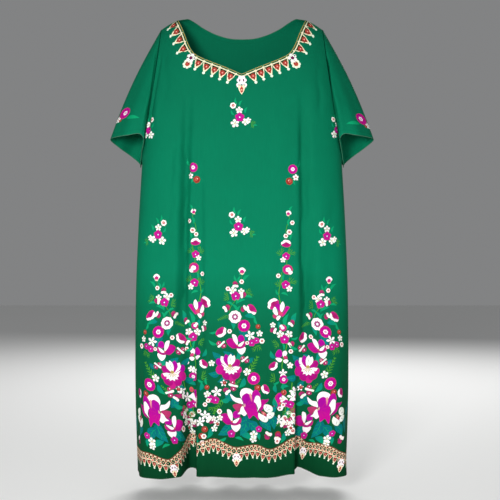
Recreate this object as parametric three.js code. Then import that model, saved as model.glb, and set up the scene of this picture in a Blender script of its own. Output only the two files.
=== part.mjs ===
// A loose maxi dress of thin printed cloth, hanging open and filled out as if it were worn.
// It is sewn from four pieces: a front, a back and two short wide sleeves.
// Millimetres. +X is the viewer's right, the front faces -Y, +Z is up.
// The origin lies on the shoulder line, midway between the two shoulders that carry the dress.
import * as THREE from "three";

// Driving sizes
const CLOTH = 1.2; // wall thickness of the cloth
const SEAM_GAP = 0.3; // left between two pieces where they are sewn
const RIDGE_HEIGHT = 6; // top of the shoulder line beside the neck
const SHOULDER_HALF = 228; // centre to where the wearer's shoulder would end
const SHOULDER_FALL = 46; // from the ridge down to there
const SHOULDER_FLAT = 120; // the ridge runs level this far out, then falls
const SHOULDER_BEND = 1.9; // how sharply it falls
const NECK_HALF = 171; // centre to where the neckline meets the shoulder seam
const ARMHOLE_TOP = 214; // centre to where the armhole starts on the shoulder line
const ARMHOLE_DOWN = 395; // shoulder line to underarm
const ARMHOLE_CURVE = 1.3; // 1 is a straight slant, higher turns it out more towards the underarm
const HEM_LIFT = 0.22; // a fold pulls the hem up by this share of its depth
const COLUMNS = { front: 64, back: 44, sleeve: 28 };
const ROWS_ABOVE = { front: 12, back: 11 }; // from the top edge to the level of the underarm
const ROWS_BELOW = { front: 14, back: 9 }; // from there to the hem
const ROWS_SLEEVE = 8;
const SCAN = 300; // steps used to measure a row before it is divided evenly
const MEASURED = 70; // rows measured from the shoulder line to the hem

// The worn outline: one row for each level, from the shoulder line to the hem.
const LEVELS = [
  { name: "shoulder line", down: 0, half: 236, front: 0, back: 0, square: 2.4 },
  { name: "shoulder top", down: 5, half: 238, front: 22, back: 20, square: 2.4 },
  { name: "yoke", down: 24, half: 241, front: 46, back: 42, square: 2.5 },
  { name: "collarbone", down: 56, half: 245, front: 65, back: 61, square: 2.6 },
  { name: "upper chest", down: 100, half: 249, front: 81, back: 78, square: 2.8 },
  { name: "chest", down: 160, half: 253, front: 95, back: 92, square: 3 },
  { name: "bust", down: 240, half: 258, front: 106, back: 100, square: 3 },
  { name: "below bust", down: 330, half: 262, front: 111, back: 101, square: 3 },
  { name: "underarm", down: 401, half: 266, front: 112, back: 98, square: 3 },
  { name: "waist", down: 560, half: 275, front: 109, back: 93, square: 3 },
  { name: "hip", down: 750, half: 282, front: 107, back: 94, square: 3 },
  { name: "knee", down: 1000, half: 283, front: 105, back: 98, square: 3 },
  { name: "hem", down: 1209, half: 277, front: 102, back: 102, square: 3 },
];

// Necklines: how far below the ridge the edge lies at each distance across from the centre.
const FRONT_NECK = [
  { across: 0, below: 173 },
  { across: 17, below: 165 },
  { across: 45, below: 153 },
  { across: 72, below: 142 },
  { across: 100, below: 130 },
  { across: 122, below: 117 },
  { across: 131, below: 105 },
  { across: 138, below: 91 },
  { across: 151, below: 56 },
  { across: 162, below: 30 },
  { across: NECK_HALF, below: 11 },
];
const BACK_NECK = [
  { across: 0, below: 48 },
  { across: 34, below: 46 },
  { across: 70, below: 37 },
  { across: 104, below: 23 },
  { across: 124, below: 12 },
  { across: 142, below: 5 },
  { across: 156, below: 7 },
  { across: NECK_HALF, below: 11 },
];

// Folds pushed into a panel: a floor with a wall each side, from one height to another.
// Depth grows from the start to the end, and is negative where the cloth stands out as a lobe.
const FRONT_FOLDS = [
  { name: "left chest fold", from: 150, to: 930, x0: -136, x1: -160, d0: 8, d1: 17,
    floor: 2, left: 17, right: 18, fade: 180 },
  { name: "left shelf", from: 330, to: 1000, x0: -126, x1: -122, d0: 6, d1: 12,
    floor: 20, left: 16, right: 14, fade: 200 },
  { name: "left deep fold", from: 700, to: 1209, x0: -125, x1: -131, d0: 0, d1: 52,
    floor: 8, left: 20, right: 8, fade: 0 },
  { name: "left lobe", from: 620, to: 1209, x0: -216, x1: -218, d0: 0, d1: -38,
    floor: 14, left: 46, right: 62, fade: 0 },
  { name: "middle swell", from: 700, to: 1209, x0: 30, x1: 45, d0: 0, d1: -9,
    floor: 20, left: 110, right: 70, fade: 0 },
  { name: "right middle slope", from: 820, to: 1209, x0: 142, x1: 142, d0: 0, d1: 14,
    floor: 8, left: 78, right: 20, fade: 0 },
  { name: "right chest fold", from: 170, to: 960, x0: 158, x1: 164, d0: 8, d1: 17,
    floor: 2, left: 16, right: 24, fade: 180 },
  { name: "right hip fold", from: 450, to: 900, x0: 186, x1: 168, d0: 8, d1: 10,
    floor: 3, left: 14, right: 20, fade: 160 },
  { name: "right lobe", from: 700, to: 1209, x0: 236, x1: 240, d0: 0, d1: -30,
    floor: 8, left: 40, right: 30, fade: 0 },
  { name: "right deep fold", from: 780, to: 1209, x0: 150, x1: 152, d0: 0, d1: 42,
    floor: 7, left: 8, right: 46, fade: 0 },
];
const BACK_FOLDS = [
  { name: "back fold 1", from: 420, to: 1209, x0: -170, x1: -178, d0: 3, d1: 28,
    floor: 5, left: 34, right: 30, fade: 0 },
  { name: "back fold 2", from: 260, to: 1209, x0: -62, x1: -74, d0: 3, d1: 36,
    floor: 6, left: 36, right: 40, fade: 0 },
  { name: "back fold 3", from: 520, to: 1209, x0: 26, x1: 22, d0: 2, d1: 26,
    floor: 5, left: 32, right: 34, fade: 0 },
  { name: "back fold 4", from: 300, to: 1209, x0: 96, x1: 112, d0: 3, d1: 38,
    floor: 6, left: 38, right: 36, fade: 0 },
  { name: "back fold 5", from: 560, to: 1209, x0: 196, x1: 200, d0: 2, d1: 22,
    floor: 4, left: 26, right: 26, fade: 0 },
];

// The sleeve's hem as a ring, starting at its outer tip and going forward, in and back round.
const SLEEVE_HEM = [
  { name: "outer tip", out: 353, fore: 0, up: -325 },
  { name: "front outer", out: 331, fore: -38, up: -322 },
  { name: "front", out: 300, fore: -62, up: -321 },
  { name: "front inner", out: 266, fore: -72, up: -318 },
  { name: "front tuck", out: 256, fore: -66, up: -330 },
  { name: "tuck foot", out: 264, fore: -44, up: -366 },
  { name: "underarm", out: 272, fore: -2, up: -398 },
  { name: "back foot", out: 275, fore: 34, up: -392 },
  { name: "back inner", out: 285, fore: 56, up: -380 },
  { name: "back", out: 307, fore: 62, up: -362 },
  { name: "back outer", out: 335, fore: 36, up: -342 },
];
const SLEEVE_PUFF = { out: 9, fore: 10 }; // how far the middle of the sleeve stands off a straight line

const clamp = (x, low, high) => Math.min(high, Math.max(low, x));
const mix = (a, b, t) => a + (b - a) * t;
const smooth = (t) => {
  const c = clamp(t, 0, 1);
  return c * c * (3 - 2 * c);
};

// A smooth curve through a table: value of column key where column by equals at.
function read(table, by, key, at) {
  const last = table.length - 1;
  const x = clamp(at, table[0][by], table[last][by]);
  let i = 0;
  while (i < last - 1 && x > table[i + 1][by]) i++;
  const slope = (k) => {
    const a = table[Math.max(k - 1, 0)];
    const b = table[Math.min(k + 1, last)];
    return (b[key] - a[key]) / (b[by] - a[by]);
  };
  const span = table[i + 1][by] - table[i][by];
  const t = (x - table[i][by]) / span;
  const rise = table[i + 1][key] - table[i][key];
  const s0 = slope(i) * span;
  const s1 = slope(i + 1) * span;
  return table[i][key] + s0 * t + (3 * rise - 2 * s0 - s1) * t * t + (s0 + s1 - 2 * rise) * t * t * t;
}

// Each level's distance along the cloth, measured down the centre front.
LEVELS.forEach((level, i) => {
  const above = LEVELS[i - 1];
  level.along = above ? above.along + Math.hypot(level.down - above.down, level.front - above.front) : 0;
});
const HEM_ALONG = LEVELS[LEVELS.length - 1].along;
const levelAt = (along, key) => read(LEVELS, "along", key, along);

// How far the shoulder line lies below its ridge at a distance across from the centre.
function shoulderFall(x) {
  const run = clamp((Math.abs(x) - SHOULDER_FLAT) / (SHOULDER_HALF - SHOULDER_FLAT), 0, 1.2);
  return SHOULDER_FALL * run ** SHOULDER_BEND;
}

// Height of the cloth: the level's own, and the shoulder's slope, which dies out by the underarm.
function heightAt(along, x) {
  const down = levelAt(along, "down");
  return RIDGE_HEIGHT - down - shoulderFall(x) * (1 - smooth(down / ARMHOLE_DOWN));
}

// How far along the cloth a height below the ridge is, found by halving.
function alongAt(below, x) {
  let [low, high] = [0, HEM_ALONG];
  for (let k = 0; k < 30; k++) {
    const middle = (low + high) / 2;
    if (RIDGE_HEIGHT - heightAt(middle, x) < below) low = middle;
    else high = middle;
  }
  return (low + high) / 2;
}

const UNDERARM_ALONG = alongAt(ARMHOLE_DOWN, 0);

// Where the armhole cuts the panel: a line that slants out from the shoulder line to the underarm.
function edgeTurn(along) {
  const t = Math.min(levelAt(along, "down") / ARMHOLE_DOWN, 1);
  const cut = mix(ARMHOLE_TOP, levelAt(UNDERARM_ALONG, "half"), t ** ARMHOLE_CURVE);
  return t < 1 ? Math.asin(Math.min(cut / levelAt(along, "half"), 1)) / (Math.PI / 2) : 1;
}

// Depth of all folds together at a place across and down the panel.
function foldDepth(folds, x, down) {
  let depth = 0;
  for (const f of folds) {
    if (down <= f.from || (f.fade && down >= f.to)) continue;
    const t = clamp((down - f.from) / (f.to - f.from), 0, 1);
    const off = x - mix(f.x0, f.x1, t);
    const wall = off < 0 ? f.left : f.right;
    const up = clamp((Math.abs(off) - f.floor) / wall, 0, 1);
    const shape = 0.5 + 0.5 * Math.cos(Math.PI * up);
    const ends = f.fade
      ? smooth((down - f.from) / f.fade) * smooth((f.to - down) / f.fade)
      : smooth(t * 1.15);
    depth += mix(f.d0, f.d1, t) * shape * ends;
  }
  return depth;
}

// A point of a panel before it is divided: turn runs from -1 at the left edge to 1 at the right.
function panelPoint(side, along, turn) {
  const half = levelAt(along, "half");
  const deep = Math.max(levelAt(along, side), 1e-3);
  const square = levelAt(along, "square");
  const s = Math.sin((Math.PI / 2) * turn);
  const x = half * s;
  const y = deep * (1 - Math.abs(s) ** square) ** (1 / square);
  const out = new THREE.Vector2(
    Math.sign(x) * Math.abs(x / half) ** (square - 1) / half,
    (y / deep) ** (square - 1) / deep,
  ).normalize();
  const down = levelAt(along, "down");
  const depth = foldDepth(side === "front" ? FRONT_FOLDS : BACK_FOLDS, x, down);
  const facing = side === "front" ? -1 : 1;
  return new THREE.Vector3(x - out.x * depth, facing * (y - out.y * depth), heightAt(along, x));
}

// Even shares of the cloth's width, as turns, for rows measured from the shoulder line to the hem.
// Above the underarm the outer shares are squeezed in, so that the last one lands on the armhole.
function turnTable(side) {
  const rows = [];
  for (let r = 0; r <= MEASURED; r++) {
    const along = (HEM_ALONG * r) / MEASURED;
    const length = [0];
    let before = panelPoint(side, along, -1);
    for (let k = 1; k <= SCAN; k++) {
      const point = panelPoint(side, along, (2 * k) / SCAN - 1);
      length.push(length[k - 1] + point.distanceTo(before));
      before = point;
    }
    const turnOf = (at) => {
      const k = clamp(length.findIndex((l) => l >= at), 1, SCAN);
      return (2 * (k - 1 + (at - length[k - 1]) / (length[k] - length[k - 1]))) / SCAN - 1;
    };
    const cut = edgeTurn(along);
    const lost = (hand) => {
      const k = ((hand * cut + 1) / 2) * SCAN;
      const at = mix(length[Math.floor(k)], length[Math.ceil(k)], k % 1);
      return hand < 0 ? (2 * at) / length[SCAN] : 2 - (2 * at) / length[SCAN];
    };
    const turns = [];
    for (let i = 0; i <= COLUMNS[side]; i++) {
      const even = (2 * i) / COLUMNS[side] - 1;
      const share = even * (1 - lost(Math.sign(even) || 1) * even * even);
      turns.push(turnOf(SEAM_GAP / 2 + (length[SCAN] - SEAM_GAP) * ((share + 1) / 2)));
    }
    rows.push(turns);
  }
  return rows;
}
function turnAt(table, column, along) {
  const r = clamp((along / HEM_ALONG) * MEASURED, 0, MEASURED - 1e-6);
  const i = Math.floor(r);
  return mix(table[i][column], table[i + 1][column], r - i);
}

// Where a column leaves the shoulder seam or the neckline, found by halving.
function topOf(side, table, column) {
  const neck = side === "front" ? FRONT_NECK : BACK_NECK;
  let [low, high] = [0, UNDERARM_ALONG];
  for (let k = 0; k < 30; k++) {
    const middle = (low + high) / 2;
    const point = panelPoint(side, middle, turnAt(table, column, middle));
    const across = Math.abs(point.x);
    const open = across < NECK_HALF && point.z > RIDGE_HEIGHT - read(neck, "across", "below", across);
    if (open || Math.abs(point.y) < SEAM_GAP / 2) low = middle;
    else high = middle;
  }
  return high;
}

// The panel as a grid of points down the middle of the cloth.
function panelGrid(side) {
  const table = turnTable(side);
  const grid = [];
  for (let i = 0; i <= COLUMNS[side]; i++) {
    const top = topOf(side, table, i);
    const foot = panelPoint(side, HEM_ALONG, table[MEASURED][i]);
    const folds = side === "front" ? FRONT_FOLDS : BACK_FOLDS;
    const lift = HEM_LIFT * Math.max(foldDepth(folds, foot.x, LEVELS[LEVELS.length - 1].down), 0);
    const column = [];
    for (let j = 0; j <= ROWS_ABOVE[side] + ROWS_BELOW[side]; j++) {
      const t = j / ROWS_ABOVE[side];
      const below = (j - ROWS_ABOVE[side]) / ROWS_BELOW[side];
      const along = t < 1
        ? mix(top, UNDERARM_ALONG, mix(t, smooth(t), 0.6))
        : mix(UNDERARM_ALONG, HEM_ALONG - lift, below);
      column.push(panelPoint(side, along, turnAt(table, i, along)));
    }
    grid.push(column);
  }
  return grid;
}

// A point of the armhole, as the panel beside it is cut: round runs 0 to 1 forward and down to the
// underarm at 0.5, then up the back to the shoulder line again.
function armholePoint(round) {
  const side = round <= 0.5 ? "front" : "back";
  const share = round <= 0.5 ? 2 * round : 2 - 2 * round;
  return panelPoint(side, UNDERARM_ALONG * share, edgeTurn(UNDERARM_ALONG * share));
}

// A point of the sleeve's hem ring, on a closed curve through the table's rows.
const hemCurve = new THREE.CatmullRomCurve3(
  SLEEVE_HEM.map((p) => new THREE.Vector3(p.out, p.fore, p.up)),
  true,
  "centripetal",
);
const UNDERARM_ROW = SLEEVE_HEM.findIndex((p) => p.name === "underarm") / SLEEVE_HEM.length;
function cuffPoint(round) {
  const t = round <= 0.5 ? 2 * round * UNDERARM_ROW : mix(UNDERARM_ROW, 1, 2 * round - 1);
  return hemCurve.getPoint(t);
}

// The right sleeve as a grid: around the arm, then from the armhole to the hem.
function sleeveGrid() {
  const grid = [];
  for (let i = 0; i < COLUMNS.sleeve; i++) {
    const round = i / COLUMNS.sleeve;
    const start = armholePoint(round);
    start.x += CLOTH + SEAM_GAP;
    const end = cuffPoint(round);
    const column = [];
    for (let j = 0; j <= ROWS_SLEEVE; j++) {
      const t = j / ROWS_SLEEVE;
      const puff = Math.sin(Math.PI * t) * Math.min(1, start.distanceTo(end) / 120);
      const point = start.clone().lerp(end, t);
      point.x += SLEEVE_PUFF.out * puff * Math.cos(2 * Math.PI * round) ** 2;
      point.y -= SLEEVE_PUFF.fore * puff * Math.sin(2 * Math.PI * round);
      column.push(point);
    }
    grid.push(column);
  }
  return grid;
}

// Turns a grid of points into a closed wall of cloth. A ring of columns closes on itself, and an
// edge on a seam is squared to the seam by the cloth's mirror image beyond it.
function wallOf(grid, ring, flip) {
  const across = grid.length;
  const rows = grid[0].length;
  const at = (i, j) => {
    if (ring) return grid[(i + across) % across][clamp(j, 0, rows - 1)];
    const edge = grid[clamp(i, 0, across - 1)][clamp(j, 0, rows - 1)];
    const beyond = i < 0 || j < 0 || i >= across || j >= rows;
    if (!beyond || Math.abs(edge.y) > SEAM_GAP) return edge;
    const inner = j < 0 || j >= rows ? grid[i][clamp(j, 1, rows - 2)] : grid[clamp(i, 1, across - 2)][j];
    return new THREE.Vector3(inner.x, -inner.y, inner.z);
  };
  const positions = [];
  for (const face of [1, -1]) {
    for (let i = 0; i < across; i++) {
      for (let j = 0; j < rows; j++) {
        const along = at(i, j + 1).clone().sub(at(i, j - 1));
        const normal = at(i + 1, j).clone().sub(at(i - 1, j)).cross(along).normalize();
        const p = at(i, j).clone().addScaledVector(normal, ((flip ? 1 : -1) * face * CLOTH) / 2);
        positions.push(p.x, p.y, p.z);
      }
    }
  }
  const vertex = (face, i, j) => face * across * rows + (i % across) * rows + j;
  const faces = [];
  const quad = (a, b, c, d) => (flip ? faces.push(a, c, b, a, d, c) : faces.push(a, b, c, a, c, d));
  const steps = ring ? across : across - 1;
  for (let i = 0; i < steps; i++) {
    for (let j = 0; j < rows - 1; j++) {
      quad(vertex(0, i, j), vertex(0, i, j + 1), vertex(0, i + 1, j + 1), vertex(0, i + 1, j));
      quad(vertex(1, i, j), vertex(1, i + 1, j), vertex(1, i + 1, j + 1), vertex(1, i, j + 1));
    }
    quad(vertex(0, i, 0), vertex(0, i + 1, 0), vertex(1, i + 1, 0), vertex(1, i, 0));
    const last = rows - 1;
    quad(vertex(0, i, last), vertex(1, i, last), vertex(1, i + 1, last), vertex(0, i + 1, last));
  }
  if (!ring) {
    for (let j = 0; j < rows - 1; j++) {
      quad(vertex(0, 0, j), vertex(1, 0, j), vertex(1, 0, j + 1), vertex(0, 0, j + 1));
      const e = across - 1;
      quad(vertex(0, e, j), vertex(0, e, j + 1), vertex(1, e, j + 1), vertex(1, e, j));
    }
  }
  const geometry = new THREE.BufferGeometry();
  geometry.setAttribute("position", new THREE.Float32BufferAttribute(positions, 3));
  geometry.setIndex(faces);
  return geometry;
}

const printedGreen = new THREE.MeshStandardMaterial({ color: 0x007a52, roughness: 0.72, metalness: 0 });
const plainGreen = new THREE.MeshStandardMaterial({ color: 0x00704a, roughness: 0.74, metalness: 0 });

function piece(name, geometry, material) {
  const mesh = new THREE.Mesh(geometry, material);
  mesh.name = name;
  return mesh;
}

const mirrored = (grid) => grid.map((column) => column.map((p) => new THREE.Vector3(-p.x, p.y, p.z)));
const sleeve = sleeveGrid();

const dress = new THREE.Group();
dress.add(piece("front", wallOf(panelGrid("front"), false, false), printedGreen));
dress.add(piece("back", wallOf(panelGrid("back"), false, true), printedGreen));
dress.add(piece("sleeve_right", wallOf(sleeve, true, true), plainGreen));
dress.add(piece("sleeve_left", wallOf(mirrored(sleeve), true, false), plainGreen));
export default dress;
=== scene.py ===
"""A printed batik maxi dress, hanging open and filled out, on a plain studio floor."""

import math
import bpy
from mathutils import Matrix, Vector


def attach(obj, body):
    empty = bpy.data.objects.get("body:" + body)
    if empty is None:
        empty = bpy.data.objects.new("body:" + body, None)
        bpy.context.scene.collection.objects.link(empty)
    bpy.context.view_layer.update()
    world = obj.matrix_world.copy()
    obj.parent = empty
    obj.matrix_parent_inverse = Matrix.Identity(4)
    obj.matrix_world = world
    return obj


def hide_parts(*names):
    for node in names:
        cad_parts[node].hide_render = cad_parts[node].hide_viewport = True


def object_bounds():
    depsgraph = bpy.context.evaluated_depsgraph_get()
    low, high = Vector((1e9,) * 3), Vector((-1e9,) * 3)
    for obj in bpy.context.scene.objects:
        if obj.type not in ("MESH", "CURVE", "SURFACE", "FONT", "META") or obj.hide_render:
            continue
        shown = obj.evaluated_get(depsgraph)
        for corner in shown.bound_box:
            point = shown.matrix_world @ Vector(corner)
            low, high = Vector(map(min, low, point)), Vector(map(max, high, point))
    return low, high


bl_info = {
    "name": "Batik Maxi Dress",
    "version": (1, 0, 0),
    "blender": (4, 5, 0),
    "location": "3D View > Sidebar > Dress",
    "description": "Builds the four sewn pieces of a printed maxi dress on its fixed frame",
    "category": "Object",
}

import bpy
import numpy as np
from mathutils import Vector
from mathutils.geometry import delaunay_2d_cdt

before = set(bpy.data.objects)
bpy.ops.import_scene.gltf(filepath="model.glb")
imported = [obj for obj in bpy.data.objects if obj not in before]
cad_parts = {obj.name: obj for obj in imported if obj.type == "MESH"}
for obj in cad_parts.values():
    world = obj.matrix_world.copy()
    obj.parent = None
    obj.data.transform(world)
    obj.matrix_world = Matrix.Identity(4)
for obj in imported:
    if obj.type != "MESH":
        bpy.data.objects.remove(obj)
CAD_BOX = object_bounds()
MM = 0.001

# The worn form, in millimetres, from the same named sizes as the part.
RIDGE_HEIGHT = 6
SHOULDER_HALF = 228
SHOULDER_FALL = 46
SHOULDER_FLAT = 120
SHOULDER_BEND = 1.9
NECK_HALF = 171
ARMHOLE_TOP = 214
ARMHOLE_DOWN = 395
ARMHOLE_CURVE = 1.3
SEAM_GAP = 0.3
HEM_LIFT = 0.22
SLEEVE_START = 1.5
SLEEVE_PUFF_OUT = 9
SLEEVE_PUFF_FORE = 10
SCAN = 600
MEASURED = 240
EVENS = 400

# One row for each level from the shoulder line to the hem: name, down, half width, front, back, square
LEVELS = [
    ("shoulder line", 0, 236, 0, 0, 2.4),
    ("shoulder top", 5, 238, 22, 20, 2.4),
    ("yoke", 24, 241, 46, 42, 2.5),
    ("collarbone", 56, 245, 65, 61, 2.6),
    ("upper chest", 100, 249, 81, 78, 2.8),
    ("chest", 160, 253, 95, 92, 3),
    ("bust", 240, 258, 106, 100, 3),
    ("below bust", 330, 262, 111, 101, 3),
    ("underarm", 401, 266, 112, 98, 3),
    ("waist", 560, 275, 109, 93, 3),
    ("hip", 750, 282, 107, 94, 3),
    ("knee", 1000, 283, 105, 98, 3),
    ("hem", 1209, 277, 102, 102, 3),
]
_, DOWN, HALF, FRONT, BACK, SQUARE = (np.array(c) for c in zip(*LEVELS))
DEPTH = {"front": FRONT.astype(float), "back": BACK.astype(float)}
ALONG = np.concatenate([[0], np.cumsum(np.hypot(np.diff(DOWN), np.diff(FRONT)))])
HEM_ALONG = ALONG[-1]

# Necklines: distance across from the centre, and how far below the ridge the edge lies
NECK = {
    "front": [
        (0, 173), (17, 165), (45, 153), (72, 142), (100, 130), (122, 117),
        (131, 105), (138, 91), (151, 56), (162, 30), (NECK_HALF, 11),
    ],
    "back": [
        (0, 48), (34, 46), (70, 37), (104, 23), (124, 12), (142, 5), (156, 7), (NECK_HALF, 11),
    ],
}

# Large folds: name, from, to, x at from, x at to, depth at from, depth at to, floor, left, right, fade
FOLDS = {
    "front": [
        ("left chest fold", 150, 930, -136, -160, 8, 17, 2, 17, 18, 180),
        ("left shelf", 330, 1000, -126, -122, 6, 12, 20, 16, 14, 200),
        ("left deep fold", 700, 1209, -125, -131, 0, 52, 8, 20, 8, 0),
        ("left lobe", 620, 1209, -216, -218, 0, -38, 14, 46, 62, 0),
        ("middle swell", 700, 1209, 30, 45, 0, -9, 20, 110, 70, 0),
        ("right middle slope", 820, 1209, 142, 142, 0, 14, 8, 78, 20, 0),
        ("right chest fold", 170, 960, 158, 164, 8, 17, 2, 16, 24, 180),
        ("right hip fold", 450, 900, 186, 168, 8, 10, 3, 14, 20, 160),
        ("right lobe", 700, 1209, 236, 240, 0, -30, 8, 40, 30, 0),
        ("right deep fold", 780, 1209, 150, 152, 0, 42, 7, 8, 46, 0),
    ],
    "back": [
        ("back fold 1", 420, 1209, -170, -178, 3, 28, 5, 34, 30, 0),
        ("back fold 2", 260, 1209, -62, -74, 3, 36, 6, 36, 40, 0),
        ("back fold 3", 520, 1209, 26, 22, 2, 26, 5, 32, 34, 0),
        ("back fold 4", 300, 1209, 96, 112, 3, 38, 6, 38, 36, 0),
        ("back fold 5", 560, 1209, 196, 200, 2, 22, 4, 26, 26, 0),
    ],
}

# Beside the left armhole the panel dips along the seam: how deep, how far from the edge, how wide
SEAM_DIP = (4.5, 10, 7)
# The sleeves dip beside the seam too: how deep, how far from it, how wide, from and to round it
SLEEVE_DIPS = {-1: (7, 11, 8, 0.06, 0.42), 1: (15, 7, 4.5, 0.11, 0.33)}

# Small soft creases: x and down at one end, x and down at the other, half width, depth
CREASES = {
    "front": [
        (-165, 290, -198, 610, 7, 3.0),
        (-141, 230, -157, 900, 8, 6),
        (-110, 270, -133, 780, 6, 3.4),
        (160, 250, 161, 900, 8, 5),
        (-205, 60, -196, 250, 9, 3.0),
        (-215, 120, -222, 330, 7, -1.8),
        (206, 80, 196, 300, 8, 2.6),
        (-58, 190, -70, 470, 12, 1.6),
        (64, 200, 82, 520, 13, 1.6),
        (8, 260, -4, 640, 16, -1.3),
        (118, 130, 96, 330, 12, 1.5),
        (-108, 150, -92, 300, 11, -1.4),
        (176, 420, 202, 640, 10, 2.4),
        (-232, 430, -214, 700, 12, 2.0),
        (236, 420, 226, 760, 12, 2.0),
        (-96, 560, -84, 930, 14, -1.6),
        (100, 560, 92, 900, 12, 1.8),
        (20, 720, 26, 1209, 16, 2.2),
        (-60, 860, -72, 1209, 14, 2.4),
        (92, 880, 84, 1209, 14, 2.2),
        (196, 820, 190, 1209, 13, -2.0),
        (-180, 900, -176, 1209, 12, 2.0),
        (252, 820, 254, 1209, 12, 2.0),
        (-256, 760, -258, 1209, 12, 2.0),
    ],
    "back": [
        (-190, 70, -160, 300, 11, 2.6),
        (188, 74, 150, 310, 11, 2.6),
        (-110, 100, -118, 420, 14, 1.8),
        (60, 90, 48, 420, 14, 1.8),
        (-20, 110, -14, 520, 16, -1.5),
        (130, 140, 150, 480, 14, 1.8),
        (-214, 300, -222, 620, 12, 2.2),
        (222, 330, 214, 640, 12, 2.2),
        (-128, 640, -132, 1209, 14, 2.4),
        (64, 640, 62, 1209, 14, -2.2),
        (156, 620, 160, 1209, 14, 2.2),
        (-24, 700, -28, 1209, 14, 2.0),
        (-236, 700, -240, 1209, 12, 2.0),
        (242, 720, 240, 1209, 12, 2.0),
    ],
}

# The sleeve's hem as a ring: name, out, fore, up, from the outer tip forward, in and back round
SLEEVE_HEM = [
    ("outer tip", 353, 0, -325),
    ("front outer", 331, -38, -322),
    ("front", 300, -62, -321),
    ("front inner", 266, -72, -318),
    ("front tuck", 256, -66, -330),
    ("tuck foot", 264, -44, -366),
    ("underarm", 272, -2, -398),
    ("back foot", 275, 34, -392),
    ("back inner", 285, 56, -380),
    ("back", 307, 62, -362),
    ("back outer", 335, 36, -342),
]


def mix(a, b, t):
    return a + (b - a) * t


def smooth(t):
    t = np.clip(t, 0, 1)
    return t * t * (3 - 2 * t)


def curve(xs, ys, at):
    """A smooth curve through points: a cubic in each span whose end slopes join the neighbours."""
    xs, ys = np.asarray(xs, float), np.asarray(ys, float)
    last = len(xs) - 1
    x = np.clip(at, xs[0], xs[-1])
    i = np.clip(np.searchsorted(xs, x, side="left") - 1, 0, last - 1)
    k = np.arange(last + 1)
    after, before = np.minimum(k + 1, last), np.maximum(k - 1, 0)
    slope = (ys[after] - ys[before]) / (xs[after] - xs[before])
    span, rise = xs[i + 1] - xs[i], ys[i + 1] - ys[i]
    t, s0, s1 = (x - xs[i]) / span, slope[i] * span, slope[i + 1] * span
    return ys[i] + s0 * t + (3 * rise - 2 * s0 - s1) * t**2 + (s0 + s1 - 2 * rise) * t**3


def level(values, along):
    return curve(ALONG, values, along)


def halved(low, high, too_low, steps=34):
    """Finds where a test turns false, by halving the span between two arrays."""
    low, high = np.array(low, float), np.array(high, float)
    for _ in range(steps):
        middle = (low + high) / 2
        up = too_low(middle)
        low, high = np.where(up, middle, low), np.where(up, high, middle)
    return high


def shoulder_fall(x):
    run = np.clip((np.abs(x) - SHOULDER_FLAT) / (SHOULDER_HALF - SHOULDER_FLAT), 0, 1.2)
    return SHOULDER_FALL * run**SHOULDER_BEND


def height_at(along, x):
    """The level's own height, and the slope of the shoulder, which dies out by the underarm."""
    down = level(DOWN, along)
    return RIDGE_HEIGHT - down - shoulder_fall(x) * (1 - smooth(down / ARMHOLE_DOWN))


def along_at(below, x):
    top = np.zeros(np.broadcast(below, x).shape)
    return halved(top, top + HEM_ALONG, lambda a: RIDGE_HEIGHT - height_at(a, x) < below)


UNDER_ALONG = float(along_at(np.array([ARMHOLE_DOWN]), np.array([0.0]))[0])
UNDER_HALF = float(level(HALF, UNDER_ALONG))
UNDER_DOWN = float(level(DOWN, UNDER_ALONG))


def edge_turn(along):
    """Turn of the armhole's edge: a line that slants out from the shoulder line to the underarm."""
    t = np.minimum(level(DOWN, along) / ARMHOLE_DOWN, 1)
    cut = mix(ARMHOLE_TOP, UNDER_HALF, t**ARMHOLE_CURVE)
    turn = np.arcsin(np.minimum(cut / level(HALF, along), 1)) / (math.pi / 2)
    return np.where(t < 1, turn, 1.0)


def fold_depth(folds, x, down):
    """Each fold is a floor with a cosine wall on either side, which deepens from its start to its end."""
    depth = np.zeros(np.broadcast(x, down).shape)
    for _, start, end, x0, x1, d0, d1, floor, left, right, fade in folds:
        t = np.clip((down - start) / (end - start), 0, 1)
        off = x - mix(x0, x1, t)
        up = np.clip((np.abs(off) - floor) / np.where(off < 0, left, right), 0, 1)
        if fade:
            ends = smooth((down - start) / fade) * smooth((end - down) / fade)
        else:
            ends = smooth(t * 1.15)
        depth += mix(d0, d1, t) * (0.5 + 0.5 * np.cos(math.pi * up)) * ends * (down > start)
    return depth


def crease_depth(creases, x, down):
    """Each crease is a soft trough along a slightly wavering line, fading at both ends."""
    depth = np.zeros(np.broadcast(x, down).shape)
    for k, (x0, d0, x1, d1, half, deep) in enumerate(creases):
        t = (down - d0) / (d1 - d0)
        waver = 4 * np.sin(2.3 * k + down / 37) + 2 * np.sin(1.7 * k + down / 13)
        off = (x - mix(x0, x1, np.clip(t, -0.2, 1.2)) - waver) / half
        open_end = 1.0 if d1 >= DOWN[-1] else smooth((1 - t) * 3)
        uneven = 1 + 0.35 * np.sin(down / 29 + k)
        depth += deep * uneven * np.exp(-off * off) * smooth(t * 3) * open_end
    drift = np.sin(x / 21 + 1.3 * np.sin(down / 210)) + 0.6 * np.sin(x / 13 + 2 + down / 330)
    return depth + 0.7 * drift * smooth(down / 300)


def unit(v):
    return v / np.maximum(np.linalg.norm(v, axis=-1, keepdims=True), 1e-12)


def between(table, row, column):
    """Reads a table between its rows and columns, in straight lines."""
    r = np.clip(row, 0, table.shape[0] - 1 - 1e-9)
    c = np.clip(column, 0, table.shape[1] - 1 - 1e-9)
    i, j = r.astype(int), c.astype(int)
    a, b = r - i, c - j
    upper = table[i, j] * (1 - b) + table[i, j + 1] * b
    lower = table[i + 1, j] * (1 - b) + table[i + 1, j + 1] * b
    return upper * (1 - a) + lower * a


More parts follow.
